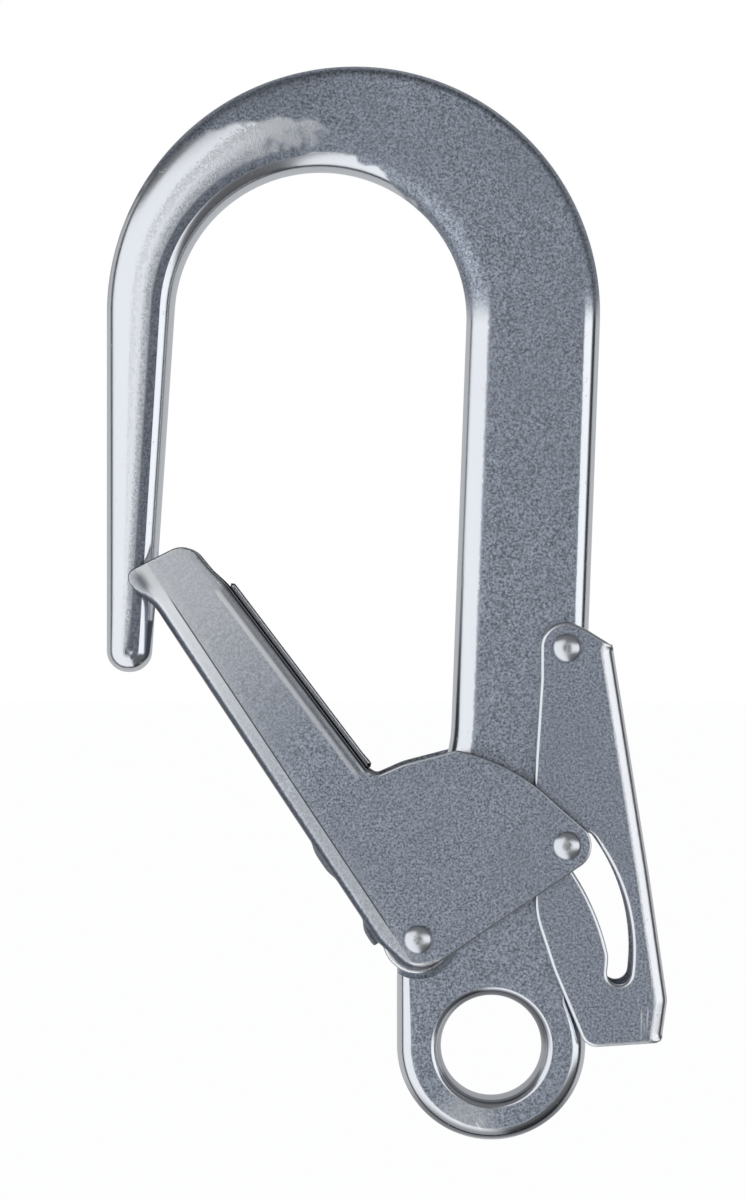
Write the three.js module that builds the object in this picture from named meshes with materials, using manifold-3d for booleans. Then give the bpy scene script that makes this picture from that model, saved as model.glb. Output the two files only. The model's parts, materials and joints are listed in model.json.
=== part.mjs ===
// Double-action scaffold hook: a forged hook body, a sheet-metal gate that opens inwards and a lock
// lever that has to be squeezed before the gate can move. Millimetres, +Z up, front faces -Y.
// The origin is the middle of the inside of the arch, the point that a rail or tube bears on.
import * as THREE from "three";
import { mergeVertices } from "three/addons/utils/BufferGeometryUtils.js";
import Module from "manifold-3d";

const wasm = await Module();
wasm.setup();

// ---------------------------------------------------------------- driving dimensions
const MOUTH_RADIUS = 29.95;         // inside of the arch
const MOUTH_SHIFT = 0.2;            // its middle, to the right of the bearing point
const CROWN_HEIGHT = 21.66;         // material above the bearing point
const BODY_HALF = 5.0;              // half thickness between the flat faces
const NOSE_WIDTH = 13.87;           // nose arm where it leaves the arch
const NOSE_LENGTH = 72.55;          // from the middle of the arch down to the nose tip
const NOSE_TAPER = 0.0661;          // how far the inner edge leans out for each mm down
const NOSE_TIP_RADIUS = 4.4;
const NOSE_HALF = 4.3;              // half thickness at the nose tip
const NOSE_EASING = 33.6;           // below the arch's middle, where the outer rounding slims
const SHANK_WIDTH = 27.41;
const SHANK_LEAN = 0.0373;          // how far both shank edges lean in for each mm down
const SHANK_END = { rise: 39.6, radius: 25 };   // where the inner edge turns to the gate pivot
const LOBE = { radius: 5.0, top: 164 };         // body round the gate pivot, from this angle
const HEEL_OFFSET = 4.2;            // left edge of the heel, beside the gate pivot
const EYE = { radius: 19.3, bore: 10.3, boreRounding: 2.2, drop: 3.1, end: 30 };
const FLANK = { gap: 0.25, start: -19, end: 23, lip: 3.6, lipRadius: 2.2 };   // by the notch

const SHEET = 1.5;                  // sheet of the gate and of the lever
const LEVER_GAP = 0.35;             // between body face and lever cheek
const CHEEK_GAP = 0.35;             // between lever cheek and gate cheek
const GATE_DROP = 126.65;           // gate pivot below the middle of the arch
const GATE_INSET = 10.05;           // gate pivot inside the mouth's edge
const GATE_SEAT = { over: 2.1, above: 24.88 };  // gate tip beside and above the nose tip
const OPEN_LEAN = 8.33;             // degrees that the open gate leans towards the shank
const TIP_GAP = 0.35;               // between each cheek's tip and the shank when the gate is open
const TIP = { left: -7.6, right: 6.0, shoulder: 7.1, slope: 9, radius: 4.5 };
const WEB_OFFSET = 7.2;             // outside of the gate's web, beside the pivot
const WEB_SHORT = 12.4;             // the web stops this far below the tip, beside the nose
const BEAD = { proud: 0.8, low: 18.5, high: 29.5, ease: 3.3 };      // pressed across the web
const FLARE = { low: 3.4, full: 5.6, end: 10.5, half: 5.5 };        // of the web round the coil
const CHEEK_TIP_WIDTH = 7.6;        // right-hand edge of the cheek at the top of its straight edge
const CHEEK_ROOT_WIDTH = 10.4;      // right-hand edge of the cheek where the plate begins
const CHEEK_EASE = { root: 2.9, tip: 13.4 };    // ends of that edge, from the plate and the tip
const LIP = 1.1;                    // stiffening lip on the rear cheek's inner edge
const PLATE = { rim: 3.5, top: 31.6, shoulder: 17.2, peak: 44.5, start: 11, corner: 1.5, sag: 8 };
const CHEEK_BEND = 4;               // the cheeks begin to close in this far above the plate
const PIVOT_CORNER = 6.25;          // cheek corner round the gate pivot
const PIN_CORNER = 5.0;             // cheek corner round the lock pin

const LEVER_RISE = 59.1;            // lever pivot above the gate pivot
const LEVER_INSET = 7.16;           // lever pivot inside the shank's outer edge, at the arch
const LEVER_FOOT = 21.9;            // lever's lower end below the gate pivot
const LEVER_CORNER = 5.3;
const LEVER_RATIO = 0.125;          // lever degrees for each gate degree

const LOCK_PIN = { radius: 1.65, beyond: 8.29, angle: 32.2 };   // beyond the width of the shank
const PIN_CLEARANCE = 0.4;          // round the lock pin in the notch and in its sweep
const NOTCH_TURN = 14;              // degrees that the notch follows the pin
const SLOT_PLAY = 0.85;             // round the lock pin in the lever's slot
const SLOT_OVERRUN = 2.6;           // degrees of slot past the pin when the gate is open

const RIVET = { head: 2.9, dome: 1.5, spigot: 2.0 };
const GATE_RIVET_SHANK = 2.4;
const LEVER_RIVET_SHANK = 2.2;
const RUNNING_FIT = 0.15;           // between a rivet and its hole
const HEAD_GAP = 0.08;              // under each rivet head
const WASHER = { radius: 4.7, gap: 0.1 };

// Springs, with their play inside, outside and above the coil in the pocket that holds it.
const GATE_SPRING = { wire: 1.3, mean: 6.6, turns: 2, coilGap: 0.15, leg: 19, legAngle: 165,
  core: 0.75, rim: 1.15, headroom: 0.35 };
const LEVER_SPRING = { wire: 0.8, mean: 4.1, turns: 1.5, coilGap: 0.15, leg: 9, legAngle: 10,
  core: 0.4, rim: 0.4, headroom: 0.375 };
const SPRING_FLOOR_GAP = 0.15;

const ARC_STEP = 9;                 // degrees for each facet of a curve
const ROUND_FACETS = 24;
const WIRE_STEP = 45;
const TURN_STEPS = 14;              // points in each turn of a coil
const FAR = 60;                     // reach of a cutter past what it cuts
const PROUD = 1;                    // reach of a cutter past the face that it opens

// ---------------------------------------------------------------- derived places and planes
const MOUTH = { x: MOUTH_SHIFT, z: -MOUTH_RADIUS, radius: MOUTH_RADIUS };
const NOSE_OUTER_X = MOUTH.x - MOUTH.radius - NOSE_WIDTH;
const NOSE_TIP_Z = MOUTH.z - NOSE_LENGTH;
const ARCH_RADIUS = MOUTH.radius + (NOSE_WIDTH + SHANK_WIDTH) / 2;
const ARCH = { x: NOSE_OUTER_X + ARCH_RADIUS, z: CROWN_HEIGHT - ARCH_RADIUS };
const GATE_PIVOT = { x: MOUTH.x + MOUTH.radius - GATE_INSET, z: MOUTH.z - GATE_DROP };
const LEVER_PIVOT = { x: MOUTH.x + MOUTH.radius + SHANK_WIDTH - LEVER_INSET,
  z: GATE_PIVOT.z + LEVER_RISE };
const EYE_CENTRE = { x: GATE_PIVOT.x - HEEL_OFFSET + EYE.radius,
  z: GATE_PIVOT.z - EYE.drop - EYE.radius };
const PIN_SWING = SHANK_WIDTH + LOCK_PIN.beyond;
const LOCK_POINT = around(GATE_PIVOT, PIN_SWING, LOCK_PIN.angle);
const GATE_SPAN = new THREE.Vector2(
  GATE_PIVOT.x - noseInner(NOSE_TIP_Z) - GATE_SEAT.over,
  NOSE_TIP_Z + GATE_SEAT.above - GATE_PIVOT.z);
const GATE_LENGTH = GATE_SPAN.length();
const GATE_LEAN = THREE.MathUtils.radToDeg(Math.atan2(GATE_SPAN.x, GATE_SPAN.y));
const GATE_RANGE = GATE_LEAN + OPEN_LEAN;
const WEB_END = GATE_LENGTH - WEB_SHORT;
const PLATE_RADIUS = PIN_SWING + PLATE.rim;

const LEVER_IN = BODY_HALF + LEVER_GAP;
const LEVER_OUT = LEVER_IN + SHEET;
const GATE_IN = LEVER_OUT + CHEEK_GAP;
const GATE_OUT = GATE_IN + SHEET;
const TIP_IN = BODY_HALF + TIP_GAP;

// ---------------------------------------------------------------- plane geometry helpers
function around(centre, radius, degrees) {
  const angle = THREE.MathUtils.degToRad(degrees);
  return { x: centre.x + radius * Math.cos(angle), z: centre.z + radius * Math.sin(angle) };
}

// Points of an arc from one angle to another. The rounding runs from its first to its last value.
function arc(centre, radius, from, to, rounding = [0], step = ARC_STEP) {
  const count = Math.max(2, Math.ceil(Math.abs(to - from) / step));
  return Array.from({ length: count + 1 }, (_, i) => ({
    ...around(centre, radius, from + ((to - from) * i) / count),
    rounding: [THREE.MathUtils.lerp(rounding[0], rounding.at(-1), i / count)],
  }));
}

// A corner { x, z, radius, rounding } becomes an arc that touches both its edges.
function outline(corners) {
  return corners.flatMap((corner, i) => {
    const { rounding = [0] } = corner;
    if (!corner.radius) return [{ x: corner.x, z: corner.z, rounding }];
    const here = new THREE.Vector2(corner.x, corner.z);
    const before = corners.at(i - 1);
    const after = corners[(i + 1) % corners.length];
    const back = new THREE.Vector2(before.x, before.z).sub(here).normalize();
    const ahead = new THREE.Vector2(after.x, after.z).sub(here).normalize();
    const half = Math.acos(THREE.MathUtils.clamp(back.dot(ahead), -1, 1)) / 2;
    const middle = back.clone().add(ahead).normalize();
    const centre = here.clone().addScaledVector(middle, corner.radius / Math.sin(half));
    const start = here.clone().addScaledVector(back, corner.radius / Math.tan(half)).sub(centre);
    const end = here.clone().addScaledVector(ahead, corner.radius / Math.tan(half)).sub(centre);
    let sweep = end.angle() - start.angle();
    if (sweep > Math.PI) sweep -= 2 * Math.PI;
    if (sweep < -Math.PI) sweep += 2 * Math.PI;
    const first = THREE.MathUtils.radToDeg(start.angle());
    return arc({ x: centre.x, z: centre.y }, corner.radius, first,
      first + THREE.MathUtils.radToDeg(sweep), rounding);
  });
}

// ---------------------------------------------------------------- solids and booleans
function solid(geometry) {
  const bare = geometry.clone();
  for (const name of Object.keys(bare.attributes)) {
    if (name !== "position") bare.deleteAttribute(name);
  }
  const merged = mergeVertices(bare, 1e-4);
  return new wasm.Manifold(new wasm.Mesh({
    numProp: 3,
    vertProperties: new Float32Array(merged.attributes.position.array),
    triVerts: new Uint32Array(merged.index.array),
  }));
}

function surface(body) {
  const mesh = body.getMesh();
  const geometry = new THREE.BufferGeometry();
  geometry.setAttribute("position", new THREE.BufferAttribute(mesh.vertProperties, 3));
  geometry.setIndex(new THREE.BufferAttribute(mesh.triVerts, 1));
  geometry.computeVertexNormals();
  return geometry;
}

// A prism of an x-z outline between two depths.
function slab(points, front, back) {
  const shape = new THREE.Shape(points.map((p) => new THREE.Vector2(p.x, p.z)));
  const geometry = new THREE.ExtrudeGeometry(shape, { depth: back - front, bevelEnabled: false });
  geometry.rotateX(Math.PI / 2);
  geometry.translate(0, back, 0);
  return solid(geometry);
}

// A turned piece: a profile of [radius, y] points about the line x = centre.x, z = centre.z.
function turned(profile, centre = { x: 0, z: 0 }) {
  const points = profile.map(([radius, y]) => new THREE.Vector2(radius, y));
  const geometry = new THREE.LatheGeometry(points, ROUND_FACETS);
  geometry.translate(centre.x, 0, centre.z);
  return geometry;
}

function drum(radius, front, back, centre = { x: 0, z: 0 }) {
  return solid(turned([[0, front], [radius, front], [radius, back], [0, back]], centre));
}

function ring(inner, outer, front, back, centre) {
  return turned([[inner, front], [outer, front], [outer, back], [inner, back], [inner, front]],
    centre);
}

// A closed skin through loops of equal length, one behind the other, with flat ends.
function skin(loops, holes) {
  const positions = [];
  const index = [];
  const addWall = (walls) => {
    const first = positions.length / 3;
    const size = walls[0].length;
    walls.flat().forEach((p) => positions.push(p.x, p.y, p.z));
    for (let k = 0; k + 1 < walls.length; k += 1) {
      for (let i = 0; i < size; i += 1) {
        const a = first + k * size + i;
        const d = first + k * size + ((i + 1) % size);
        index.push(a, a + size, d + size, a, d + size, d);
      }
    }
    return first;
  };
  const outerStart = addWall(loops);
  const holeStart = addWall(holes);
  for (const end of [0, loops.length - 1]) {
    const contour = loops[end].map((p) => new THREE.Vector2(p.x, p.z));
    const hole = holes[end].map((p) => new THREE.Vector2(p.x, p.z));
    const place = (i) => (i < contour.length ? outerStart + end * contour.length + i
      : holeStart + end * hole.length + i - contour.length);
    const corner = [...contour, ...hole];
    for (const [a, b, c] of THREE.ShapeUtils.triangulateShape(contour, [hole])) {
      const leftTurn = THREE.ShapeUtils.area([corner[a], corner[b], corner[c]]) > 0;
      if (leftTurn === (end === 0)) index.push(place(a), place(b), place(c));
      else index.push(place(a), place(c), place(b));
    }
  }
  const geometry = new THREE.BufferGeometry();
  geometry.setAttribute("position", new THREE.Float32BufferAttribute(positions, 3));
  geometry.setIndex(index);
  return geometry;
}

// ---------------------------------------------------------------- hook body
function shankOuter(z) {
  return ARCH.x + SHANK_LEAN * (z - ARCH.z) + ARCH_RADIUS * Math.hypot(1, SHANK_LEAN);
}

function shankInner(z) {
  return MOUTH.x + SHANK_LEAN * (z - MOUTH.z) + MOUTH.radius * Math.hypot(1, SHANK_LEAN);
}

function noseInner(z) {
  return MOUTH.x + NOSE_TAPER * (z - MOUTH.z) - MOUTH.radius * Math.hypot(1, NOSE_TAPER);
}

// Widths of the rounding, seen from the front: broad outside the nose arm, slim on the shank.
const ROUNDING = { shankOuter: 3.7, noseOuter: 6.8, noseEased: 6.5, noseTip: 4.1, noseInner: 3.7,
  shankInner: 5.2, heel: 2.6, eye: 3.0, flank: 1.2 };
const LEVELS = [-1, -0.93, -0.75, -0.42, 0, 0.42, 0.75, 0.93, 1];   // of the edge, face to face
const ROUNDING_POWER = 2.05;        // of the superellipse that rounds every edge
const BORE_POWER = 2.5;             // of the curve that opens the eye's bore at both faces

function bodyOutline() {
  const flank = PIN_SWING - LOCK_PIN.radius - PIN_CLEARANCE - FLANK.gap;
  const lipZ = LOCK_POINT.z - FLANK.lip;
  const shankEnd = GATE_PIVOT.z + SHANK_END.rise;
  const lobeEnd = 180 + THREE.MathUtils.radToDeg(Math.acos(HEEL_OFFSET / LOBE.radius));
  const lean = THREE.MathUtils.radToDeg(Math.atan(SHANK_LEAN));
  const taper = THREE.MathUtils.radToDeg(Math.atan(NOSE_TAPER));
  return outline([
    ...arc(GATE_PIVOT, flank, FLANK.start, FLANK.end, [ROUNDING.flank]).slice(1),
    { x: shankOuter(lipZ), z: lipZ, radius: FLANK.lipRadius, rounding: [ROUNDING.flank] },
    { x: shankOuter(LEVER_PIVOT.z), z: LEVER_PIVOT.z, rounding: [ROUNDING.shankOuter] },
    ...arc(ARCH, ARCH_RADIUS, -lean, 180, [ROUNDING.shankOuter, ROUNDING.noseOuter]),
    { x: NOSE_OUTER_X, z: MOUTH.z - NOSE_EASING, rounding: [ROUNDING.noseEased] },
    { x: NOSE_OUTER_X, z: NOSE_TIP_Z, radius: NOSE_TIP_RADIUS, rounding: [ROUNDING.noseTip] },
    { x: noseInner(NOSE_TIP_Z), z: NOSE_TIP_Z, radius: NOSE_TIP_RADIUS,
      rounding: [ROUNDING.noseTip, ROUNDING.noseInner] },
    ...arc(MOUTH, MOUTH.radius, 180 - taper, -lean, [ROUNDING.noseInner, ROUNDING.shankInner]),
    { x: shankInner(shankEnd), z: shankEnd, radius: SHANK_END.radius,
      rounding: [ROUNDING.shankInner] },
    ...arc(GATE_PIVOT, LOBE.radius, LOBE.top, lobeEnd, [ROUNDING.heel]),
    ...arc(EYE_CENTRE, EYE.radius, 180, 360 + EYE.end, [ROUNDING.eye]),
  ]);
}

// Points pushed into the material along the bisector of their two edges.
function inset(points, share) {
  return points.map((point, i) => {
    const before = points.at(i - 1);
    const after = points[(i + 1) % points.length];
    const one = new THREE.Vector2(point.x - before.x, point.z - before.z).normalize();
    const two = new THREE.Vector2(after.x - point.x, after.z - point.z).normalize();
    const along = one.clone().add(two).normalize();
    const reach = (point.rounding[0] * share) / Math.max(0.5, along.dot(one));
    return { x: point.x - along.y * reach, z: point.z + along.x * reach };
  });
}

function bodyHalf(x, z) {
  const down = THREE.MathUtils.clamp((z - MOUTH.z) / (NOSE_TIP_Z - MOUTH.z), 0, 1);
  return x < -MOUTH.radius / 2 ? THREE.MathUtils.lerp(BODY_HALF, NOSE_HALF, down) : BODY_HALF;
}

function hookBody() {
  const edge = bodyOutline();
  const loops = LEVELS.map((level) => {
    const share = 1 - (1 - Math.abs(level) ** ROUNDING_POWER) ** (1 / ROUNDING_POWER);
    return inset(edge, share).map((p, i) => (
      { ...p, y: level * bodyHalf(edge[i].x, edge[i].z) }));
  });
  const holes = LEVELS.map((level) => {
    const radius = EYE.bore + EYE.boreRounding * Math.abs(level) ** BORE_POWER;
    return arc(EYE_CENTRE, radius, 360, 0).slice(1).map((p) => ({ ...p, y: level * BODY_HALF }));
  });
  const beyond = BODY_HALF + PROUD;
  const sweep = LOCK_PIN.radius + PIN_CLEARANCE;
  const foot = LOCK_PIN.angle - NOTCH_TURN;
  const notch = [
    ...arc(GATE_PIVOT, PIN_SWING + sweep, foot, LOCK_PIN.angle),
    ...arc(LOCK_POINT, sweep, LOCK_PIN.angle, LOCK_PIN.angle + 180).slice(1, -1),
    ...arc(GATE_PIVOT, PIN_SWING - sweep, LOCK_PIN.angle, foot),
  ];
  const notchMouth = [
    { x: LOCK_POINT.x, z: LOCK_POINT.z - sweep - PROUD },
    { x: LOCK_POINT.x + FAR, z: LOCK_POINT.z - sweep - PROUD },
    { x: LOCK_POINT.x + FAR, z: LOCK_POINT.z + sweep },
    { x: LOCK_POINT.x, z: LOCK_POINT.z + sweep },
  ];
  return solid(skin(loops, holes))
    .subtract(slab(notch, -beyond, beyond))
    .subtract(slab(notchMouth, -beyond, beyond))
    .subtract(drum(GATE_RIVET_SHANK + RUNNING_FIT, -beyond, beyond, GATE_PIVOT))
    .subtract(drum(LEVER_RIVET_SHANK + RUNNING_FIT, -beyond, beyond, LEVER_PIVOT))
    .subtract(pocket(GATE_SPRING, GATE_IN, -1, GATE_PIVOT))
    .subtract(pocket(GATE_SPRING, GATE_IN, 1, GATE_PIVOT))
    .subtract(pocket(LEVER_SPRING, LEVER_IN, 1, LEVER_PIVOT));
}

const coilPitch = ({ wire, coilGap }) => wire + coilGap;

// Y of the pocket floor under a coil that reaches up to the cheek: always on the rear side.
function pocketFloor(spring, cheekIn) {
  const coil = spring.turns * coilPitch(spring) + spring.wire;
  return cheekIn - spring.headroom - coil - SPRING_FLOOR_GAP;
}

// A ring-shaped pocket sunk into one face: side -1 is the front, +1 the rear.
function pocket(spring, cheekIn, side, centre) {
  const floor = pocketFloor(spring, cheekIn);
  const beyond = BODY_HALF + PROUD;
  const [front, back] = side < 0 ? [-beyond, -floor] : [floor, beyond];
  const inner = spring.mean - spring.wire / 2 - spring.core;
  const outer = spring.mean + spring.wire / 2 + spring.rim;
  return solid(ring(inner, outer, front, back, centre));
}

// ---------------------------------------------------------------- gate
// Local axes: the pivot is the origin, z runs up the arm to the tip and x points to the shank.
const HERE = { x: 0, z: 0 };
const PIN_LOCAL = around(HERE, PIN_SWING, LOCK_PIN.angle - GATE_LEAN);
const EDGE_FOOT = PLATE.top + CHEEK_EASE.root;
const EDGE_TOP = GATE_LENGTH - CHEEK_EASE.tip;

// The cheek from the side. Extra moves its long inner edge outwards.
function gateOutline(extra = 0) {
  const plateEnd = PLATE.peak - 3;
  return outline([
    ...arc(HERE, PIVOT_CORNER, 205, 268),
    ...arc(PIN_LOCAL, PIN_CORNER, 270, 365),
    ...arc(HERE, PLATE_RADIUS, PLATE.start, plateEnd),
    { ...around(HERE, PLATE_RADIUS, PLATE.peak), radius: PLATE.corner },
    { x: PLATE.shoulder, z: PLATE.top - 0.4, radius: PLATE.sag },
    { x: CHEEK_ROOT_WIDTH + 1, z: PLATE.top + 0.6, radius: PLATE.corner },
    { x: CHEEK_ROOT_WIDTH + extra, z: EDGE_FOOT },
    { x: CHEEK_TIP_WIDTH + extra, z: EDGE_TOP },
    { x: TIP.shoulder, z: GATE_LENGTH - TIP.slope },
    { x: TIP.right, z: GATE_LENGTH - 1.5, radius: TIP.radius },
    { x: TIP.left, z: GATE_LENGTH, radius: 0.8 },
    { x: TIP.left - 0.9, z: GATE_LENGTH - 2.1, radius: 1 },
    { x: -WEB_OFFSET + 0.35, z: WEB_END + 0.5, radius: 25 },
    { x: -WEB_OFFSET, z: WEB_END - 6.5 },
    { x: -WEB_OFFSET, z: FLARE.low + 0.6, radius: 3 },
  ]);
}

// The sheet of the web, seen edge on: it swells outwards at a pressed bead and flares round the
// spring coil at its lower end. Shift moves the line from the outside to the inside of the sheet.
function webLine(shift) {
  const coil = GATE_SPRING.mean + GATE_SPRING.wire / 2 + SHEET;
  return [
    [-WEB_OFFSET, WEB_END], [-WEB_OFFSET, BEAD.high], [-WEB_OFFSET - BEAD.proud, BEAD.high - BEAD.ease],
    [-WEB_OFFSET - BEAD.proud, BEAD.low + BEAD.ease], [-WEB_OFFSET, BEAD.low],
    [-WEB_OFFSET, FLARE.end], [-coil + 0.1, FLARE.full], [-coil + 0.25, FLARE.low],
  ].map(([x, z]) => ({ x: x + shift, z }));
}

// Planes of the cheeks, seen along the sheet: parallel beside the plate, closing in to the tip.
function cheekEnvelope(root, tip) {
  const bend = PLATE.top + CHEEK_BEND;
  const top = GATE_LENGTH + 2;
  const points = [[-FAR, root], [bend, root], [top, tip], [top, -tip], [bend, -root], [-FAR, -root]];
  const shape = new THREE.Shape(points.map(([z, y]) => new THREE.Vector2(-z, y)));
  const geometry = new THREE.ExtrudeGeometry(shape, { depth: 2 * FAR, bevelEnabled: false });
  geometry.rotateY(Math.PI / 2);
  geometry.translate(-FAR, 0, 0);
  return solid(geometry);
}

function gateShell() {
  const outside = webLine(0);
  const inside = webLine(SHEET);
  const flare = slab([...outside, ...inside.toReversed()], -FLARE.half, FLARE.half);
  const above = GATE_LENGTH + FAR;
  const hollow = [...inside, { x: -FAR, z: inside.at(-1).z }, { x: -FAR, z: -FAR },
    { x: FAR, z: -FAR }, { x: FAR, z: above }, { x: -FAR, z: above }, { x: -FAR, z: WEB_END }];
  const inner = slab(hollow, -FAR, FAR).intersect(cheekEnvelope(GATE_IN, TIP_IN));
  const lipSpan = [{ x: 0, z: EDGE_FOOT }, { x: FAR, z: EDGE_FOOT }, { x: FAR, z: EDGE_TOP },
    { x: 0, z: EDGE_TOP }];
  const rearLip = slab(gateOutline(LIP), 0, GATE_OUT).intersect(slab(lipSpan, -PROUD, FAR));
  return slab(gateOutline(), -GATE_OUT, GATE_OUT).add(rearLip)
    .intersect(cheekEnvelope(GATE_OUT, TIP_IN + SHEET))
    .add(flare)
    .subtract(inner)
    .subtract(drum(RIVET.spigot + RUNNING_FIT, -FAR, FAR))
    .subtract(drum(LOCK_PIN.radius + RUNNING_FIT, -FAR, FAR, PIN_LOCAL));
}

// ---------------------------------------------------------------- lock lever
// Local axes: the lever pivot is the origin, x and z as in the whole hook.
const beside = (rise) => rise - LEVER_RISE;     // a height above the gate pivot
const LEVER_WEB = [
  { x: 19.4, z: beside(-LEVER_FOOT + 0.7) }, { x: 20.6, z: beside(-LEVER_FOOT + 9.2) },
  { x: 16.95, z: beside(12.5) }, { x: 9.45, z: 0.4 },
];

function leverOutline() {
  const [low, knee, mid, high] = LEVER_WEB;
  return outline([
    { x: -6.5, z: beside(5.1), radius: 18 },
    { x: -2.7, z: beside(-6.5) },
    { x: 3.9, z: beside(-LEVER_FOOT - 0.3), radius: 3.5 },
    { ...low, radius: 1.8 },
    { ...knee, radius: 1.8 },
    { ...mid, radius: 10 },
    { ...high, radius: 1 },
    { x: 3.9, z: 3.9, radius: 3 },
    ...arc(HERE, LEVER_CORNER, 80, 175),
    { x: -LEVER_CORNER, z: -6.5 },
    { x: -6.8, z: beside(29.9), radius: 12 },
  ]);
}

// Where the lock pin stands in the lever when the gate has turned by so many degrees.
function pinInLever(gateAngle) {
  const point = around(GATE_PIVOT, PIN_SWING, LOCK_PIN.angle - gateAngle);
  const offset = new THREE.Vector2(point.x - LEVER_PIVOT.x, point.z - LEVER_PIVOT.z);
  offset.rotateAround(new THREE.Vector2(), THREE.MathUtils.degToRad(LEVER_RATIO * gateAngle));
  return { x: offset.x, z: offset.y };
}

// The slot follows the pin's circle once the lever is squeezed, and the notch at its top holds
// the pin while the lever is released.
function leverSlot() {
  const squeezed = THREE.MathUtils.degToRad(LEVER_RATIO * GATE_RANGE);
  const centre = new THREE.Vector2(GATE_PIVOT.x - LEVER_PIVOT.x, GATE_PIVOT.z - LEVER_PIVOT.z)
    .rotateAround(new THREE.Vector2(), squeezed);
  const middle = { x: centre.x, z: centre.y };
  const turn = THREE.MathUtils.radToDeg(squeezed);
  const top = LOCK_PIN.angle + turn;
  const bottom = LOCK_PIN.angle - GATE_RANGE - SLOT_OVERRUN + turn;
  const half = LOCK_PIN.radius + SLOT_PLAY;
  const track = [
    ...arc(middle, PIN_SWING + half, bottom, top),
    ...arc(around(middle, PIN_SWING, top), half, top, top + 180).slice(1, -1),
    ...arc(middle, PIN_SWING - half, top, bottom),
    ...arc(around(middle, PIN_SWING, bottom), half, bottom + 180, bottom + 360).slice(1, -1),
  ];
  const room = LOCK_PIN.radius + PIN_CLEARANCE;
  const steps = 8;
  const path = Array.from({ length: steps + 1 }, (_, i) => pinInLever((GATE_RANGE * i) / steps));
  const sides = path.map((point, i) => {
    const ahead = path[Math.min(i + 1, steps)];
    const behind = path[Math.max(i - 1, 0)];
    const along = new THREE.Vector2(ahead.x - behind.x, ahead.z - behind.z).normalize();
    return { point, along };
  });
  const left = sides.map(({ point, along }) => (
    { x: point.x + along.y * room, z: point.z - along.x * room }));
  const right = sides.map(({ point, along }) => (
    { x: point.x - along.y * room, z: point.z + along.x * room }));
  const depth = LEVER_OUT + PROUD;
  return slab(track, -depth, depth)
    .add(slab([...left, ...right.toReversed()], -depth, depth))
    .add(drum(room, -depth, depth, path[0]));
}

function leverShell() {
  const inside = LEVER_WEB.map(({ x, z }) => ({ x: x - SHEET, z }));
  const below = -LEVER_RISE - LEVER_FOOT - FAR;
  const hollow = [...inside, { x: inside.at(-1).x, z: FAR }, { x: -FAR, z: FAR },
    { x: -FAR, z: below }, { x: inside[0].x, z: below }];
  return slab(leverOutline(), -LEVER_OUT, LEVER_OUT)
    .subtract(slab(hollow, -LEVER_IN, LEVER_IN))
    .subtract(drum(RIVET.spigot + RUNNING_FIT, -FAR, FAR))
    .subtract(leverSlot());
}

// ---------------------------------------------------------------- rivets, washers and springs
const DOME = [[1, 0], [0.93, 0.45], [0.66, 0.85], [0.3, 0.97], [0, 1]];   // of radius and rise

// A pin through both cheeks with a domed head outside each of them.
function headed(radius, cheekOut, centre) {
  const base = cheekOut + HEAD_GAP;
  const profile = [[0, base], ...DOME.map(([share, rise]) => (
    [share * RIVET.head, base + rise * RIVET.dome]))];
  const head = solid(turned(profile, centre));
  const reach = base + RIVET.dome / 2;
  return drum(radius, -reach, reach, centre).add(head).add(head.mirror([0, 1, 0]));
}

// A rivet that also has a shoulder between the cheeks.
function shouldered(shank, cheekIn, cheekOut, centre) {
  const shoulder = cheekIn - HEAD_GAP;
  return headed(RIVET.spigot, cheekOut, centre).add(drum(shank, -shoulder, shoulder, centre));
}

function washer(side, centre) {
  const near = BODY_HALF + WASHER.gap;
  const far = GATE_IN - WASHER.gap;
  const [front, back] = side < 0 ? [-far, -near] : [near, far];
  return ring(GATE_RIVET_SHANK + RUNNING_FIT, WASHER.radius, front, back, centre);
}

// A torsion spring: a coil about the Y axis through the origin that climbs from its pocket's floor
// towards the cheek, then a straight leg that leaves it at a tangent. Side -1 is the front.
function torsionSpring(spring, cheekIn, side) {
  const { wire, mean, turns, leg } = spring;
  const total = Math.round(turns * TURN_STEPS);
  const legTurn = THREE.MathUtils.degToRad(spring.legAngle);
  const start = pocketFloor(spring, cheekIn) + SPRING_FLOOR_GAP + wire / 2;
  const points = Array.from({ length: total + 1 }, (_, i) => {
    const angle = legTurn + ((total - i) / TURN_STEPS) * 2 * Math.PI;
    const y = side * (start + coilPitch(spring) * (i / TURN_STEPS));
    return new THREE.Vector3(mean * Math.cos(angle), y, mean * Math.sin(angle));
  });
  const along = new THREE.Vector3(Math.sin(legTurn), 0, -Math.cos(legTurn));
  for (const share of [0.35, 0.7, 1]) {
    points.push(points[total].clone().addScaledVector(along, leg * share));
  }
  const round = arc(HERE, wire / 2, 0, 360 - WIRE_STEP, [0], WIRE_STEP)
    .map((p) => new THREE.Vector2(p.x, p.z));
  const path = new THREE.CatmullRomCurve3(points, false, "centripetal");
  return new THREE.ExtrudeGeometry(new THREE.Shape(round),
    { steps: points.length, extrudePath: path, bevelEnabled: false });
}

// ---------------------------------------------------------------- finishes and assembly
const FINISH = {
  forged: { color: 0x7b828d, roughness: 0.42, metalness: 1 },
  sheet: { color: 0x8f959e, roughness: 0.36, metalness: 1 },
  rivet: { color: 0xa9adb3, roughness: 0.25, metalness: 1 },
  spring: { color: 0x8a8d92, roughness: 0.3, metalness: 1 },
};

function piece(name, geometry, finish) {
  const mesh = new THREE.Mesh(geometry, new THREE.MeshStandardMaterial(finish));
  mesh.name = name;
  return mesh;
}

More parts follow.
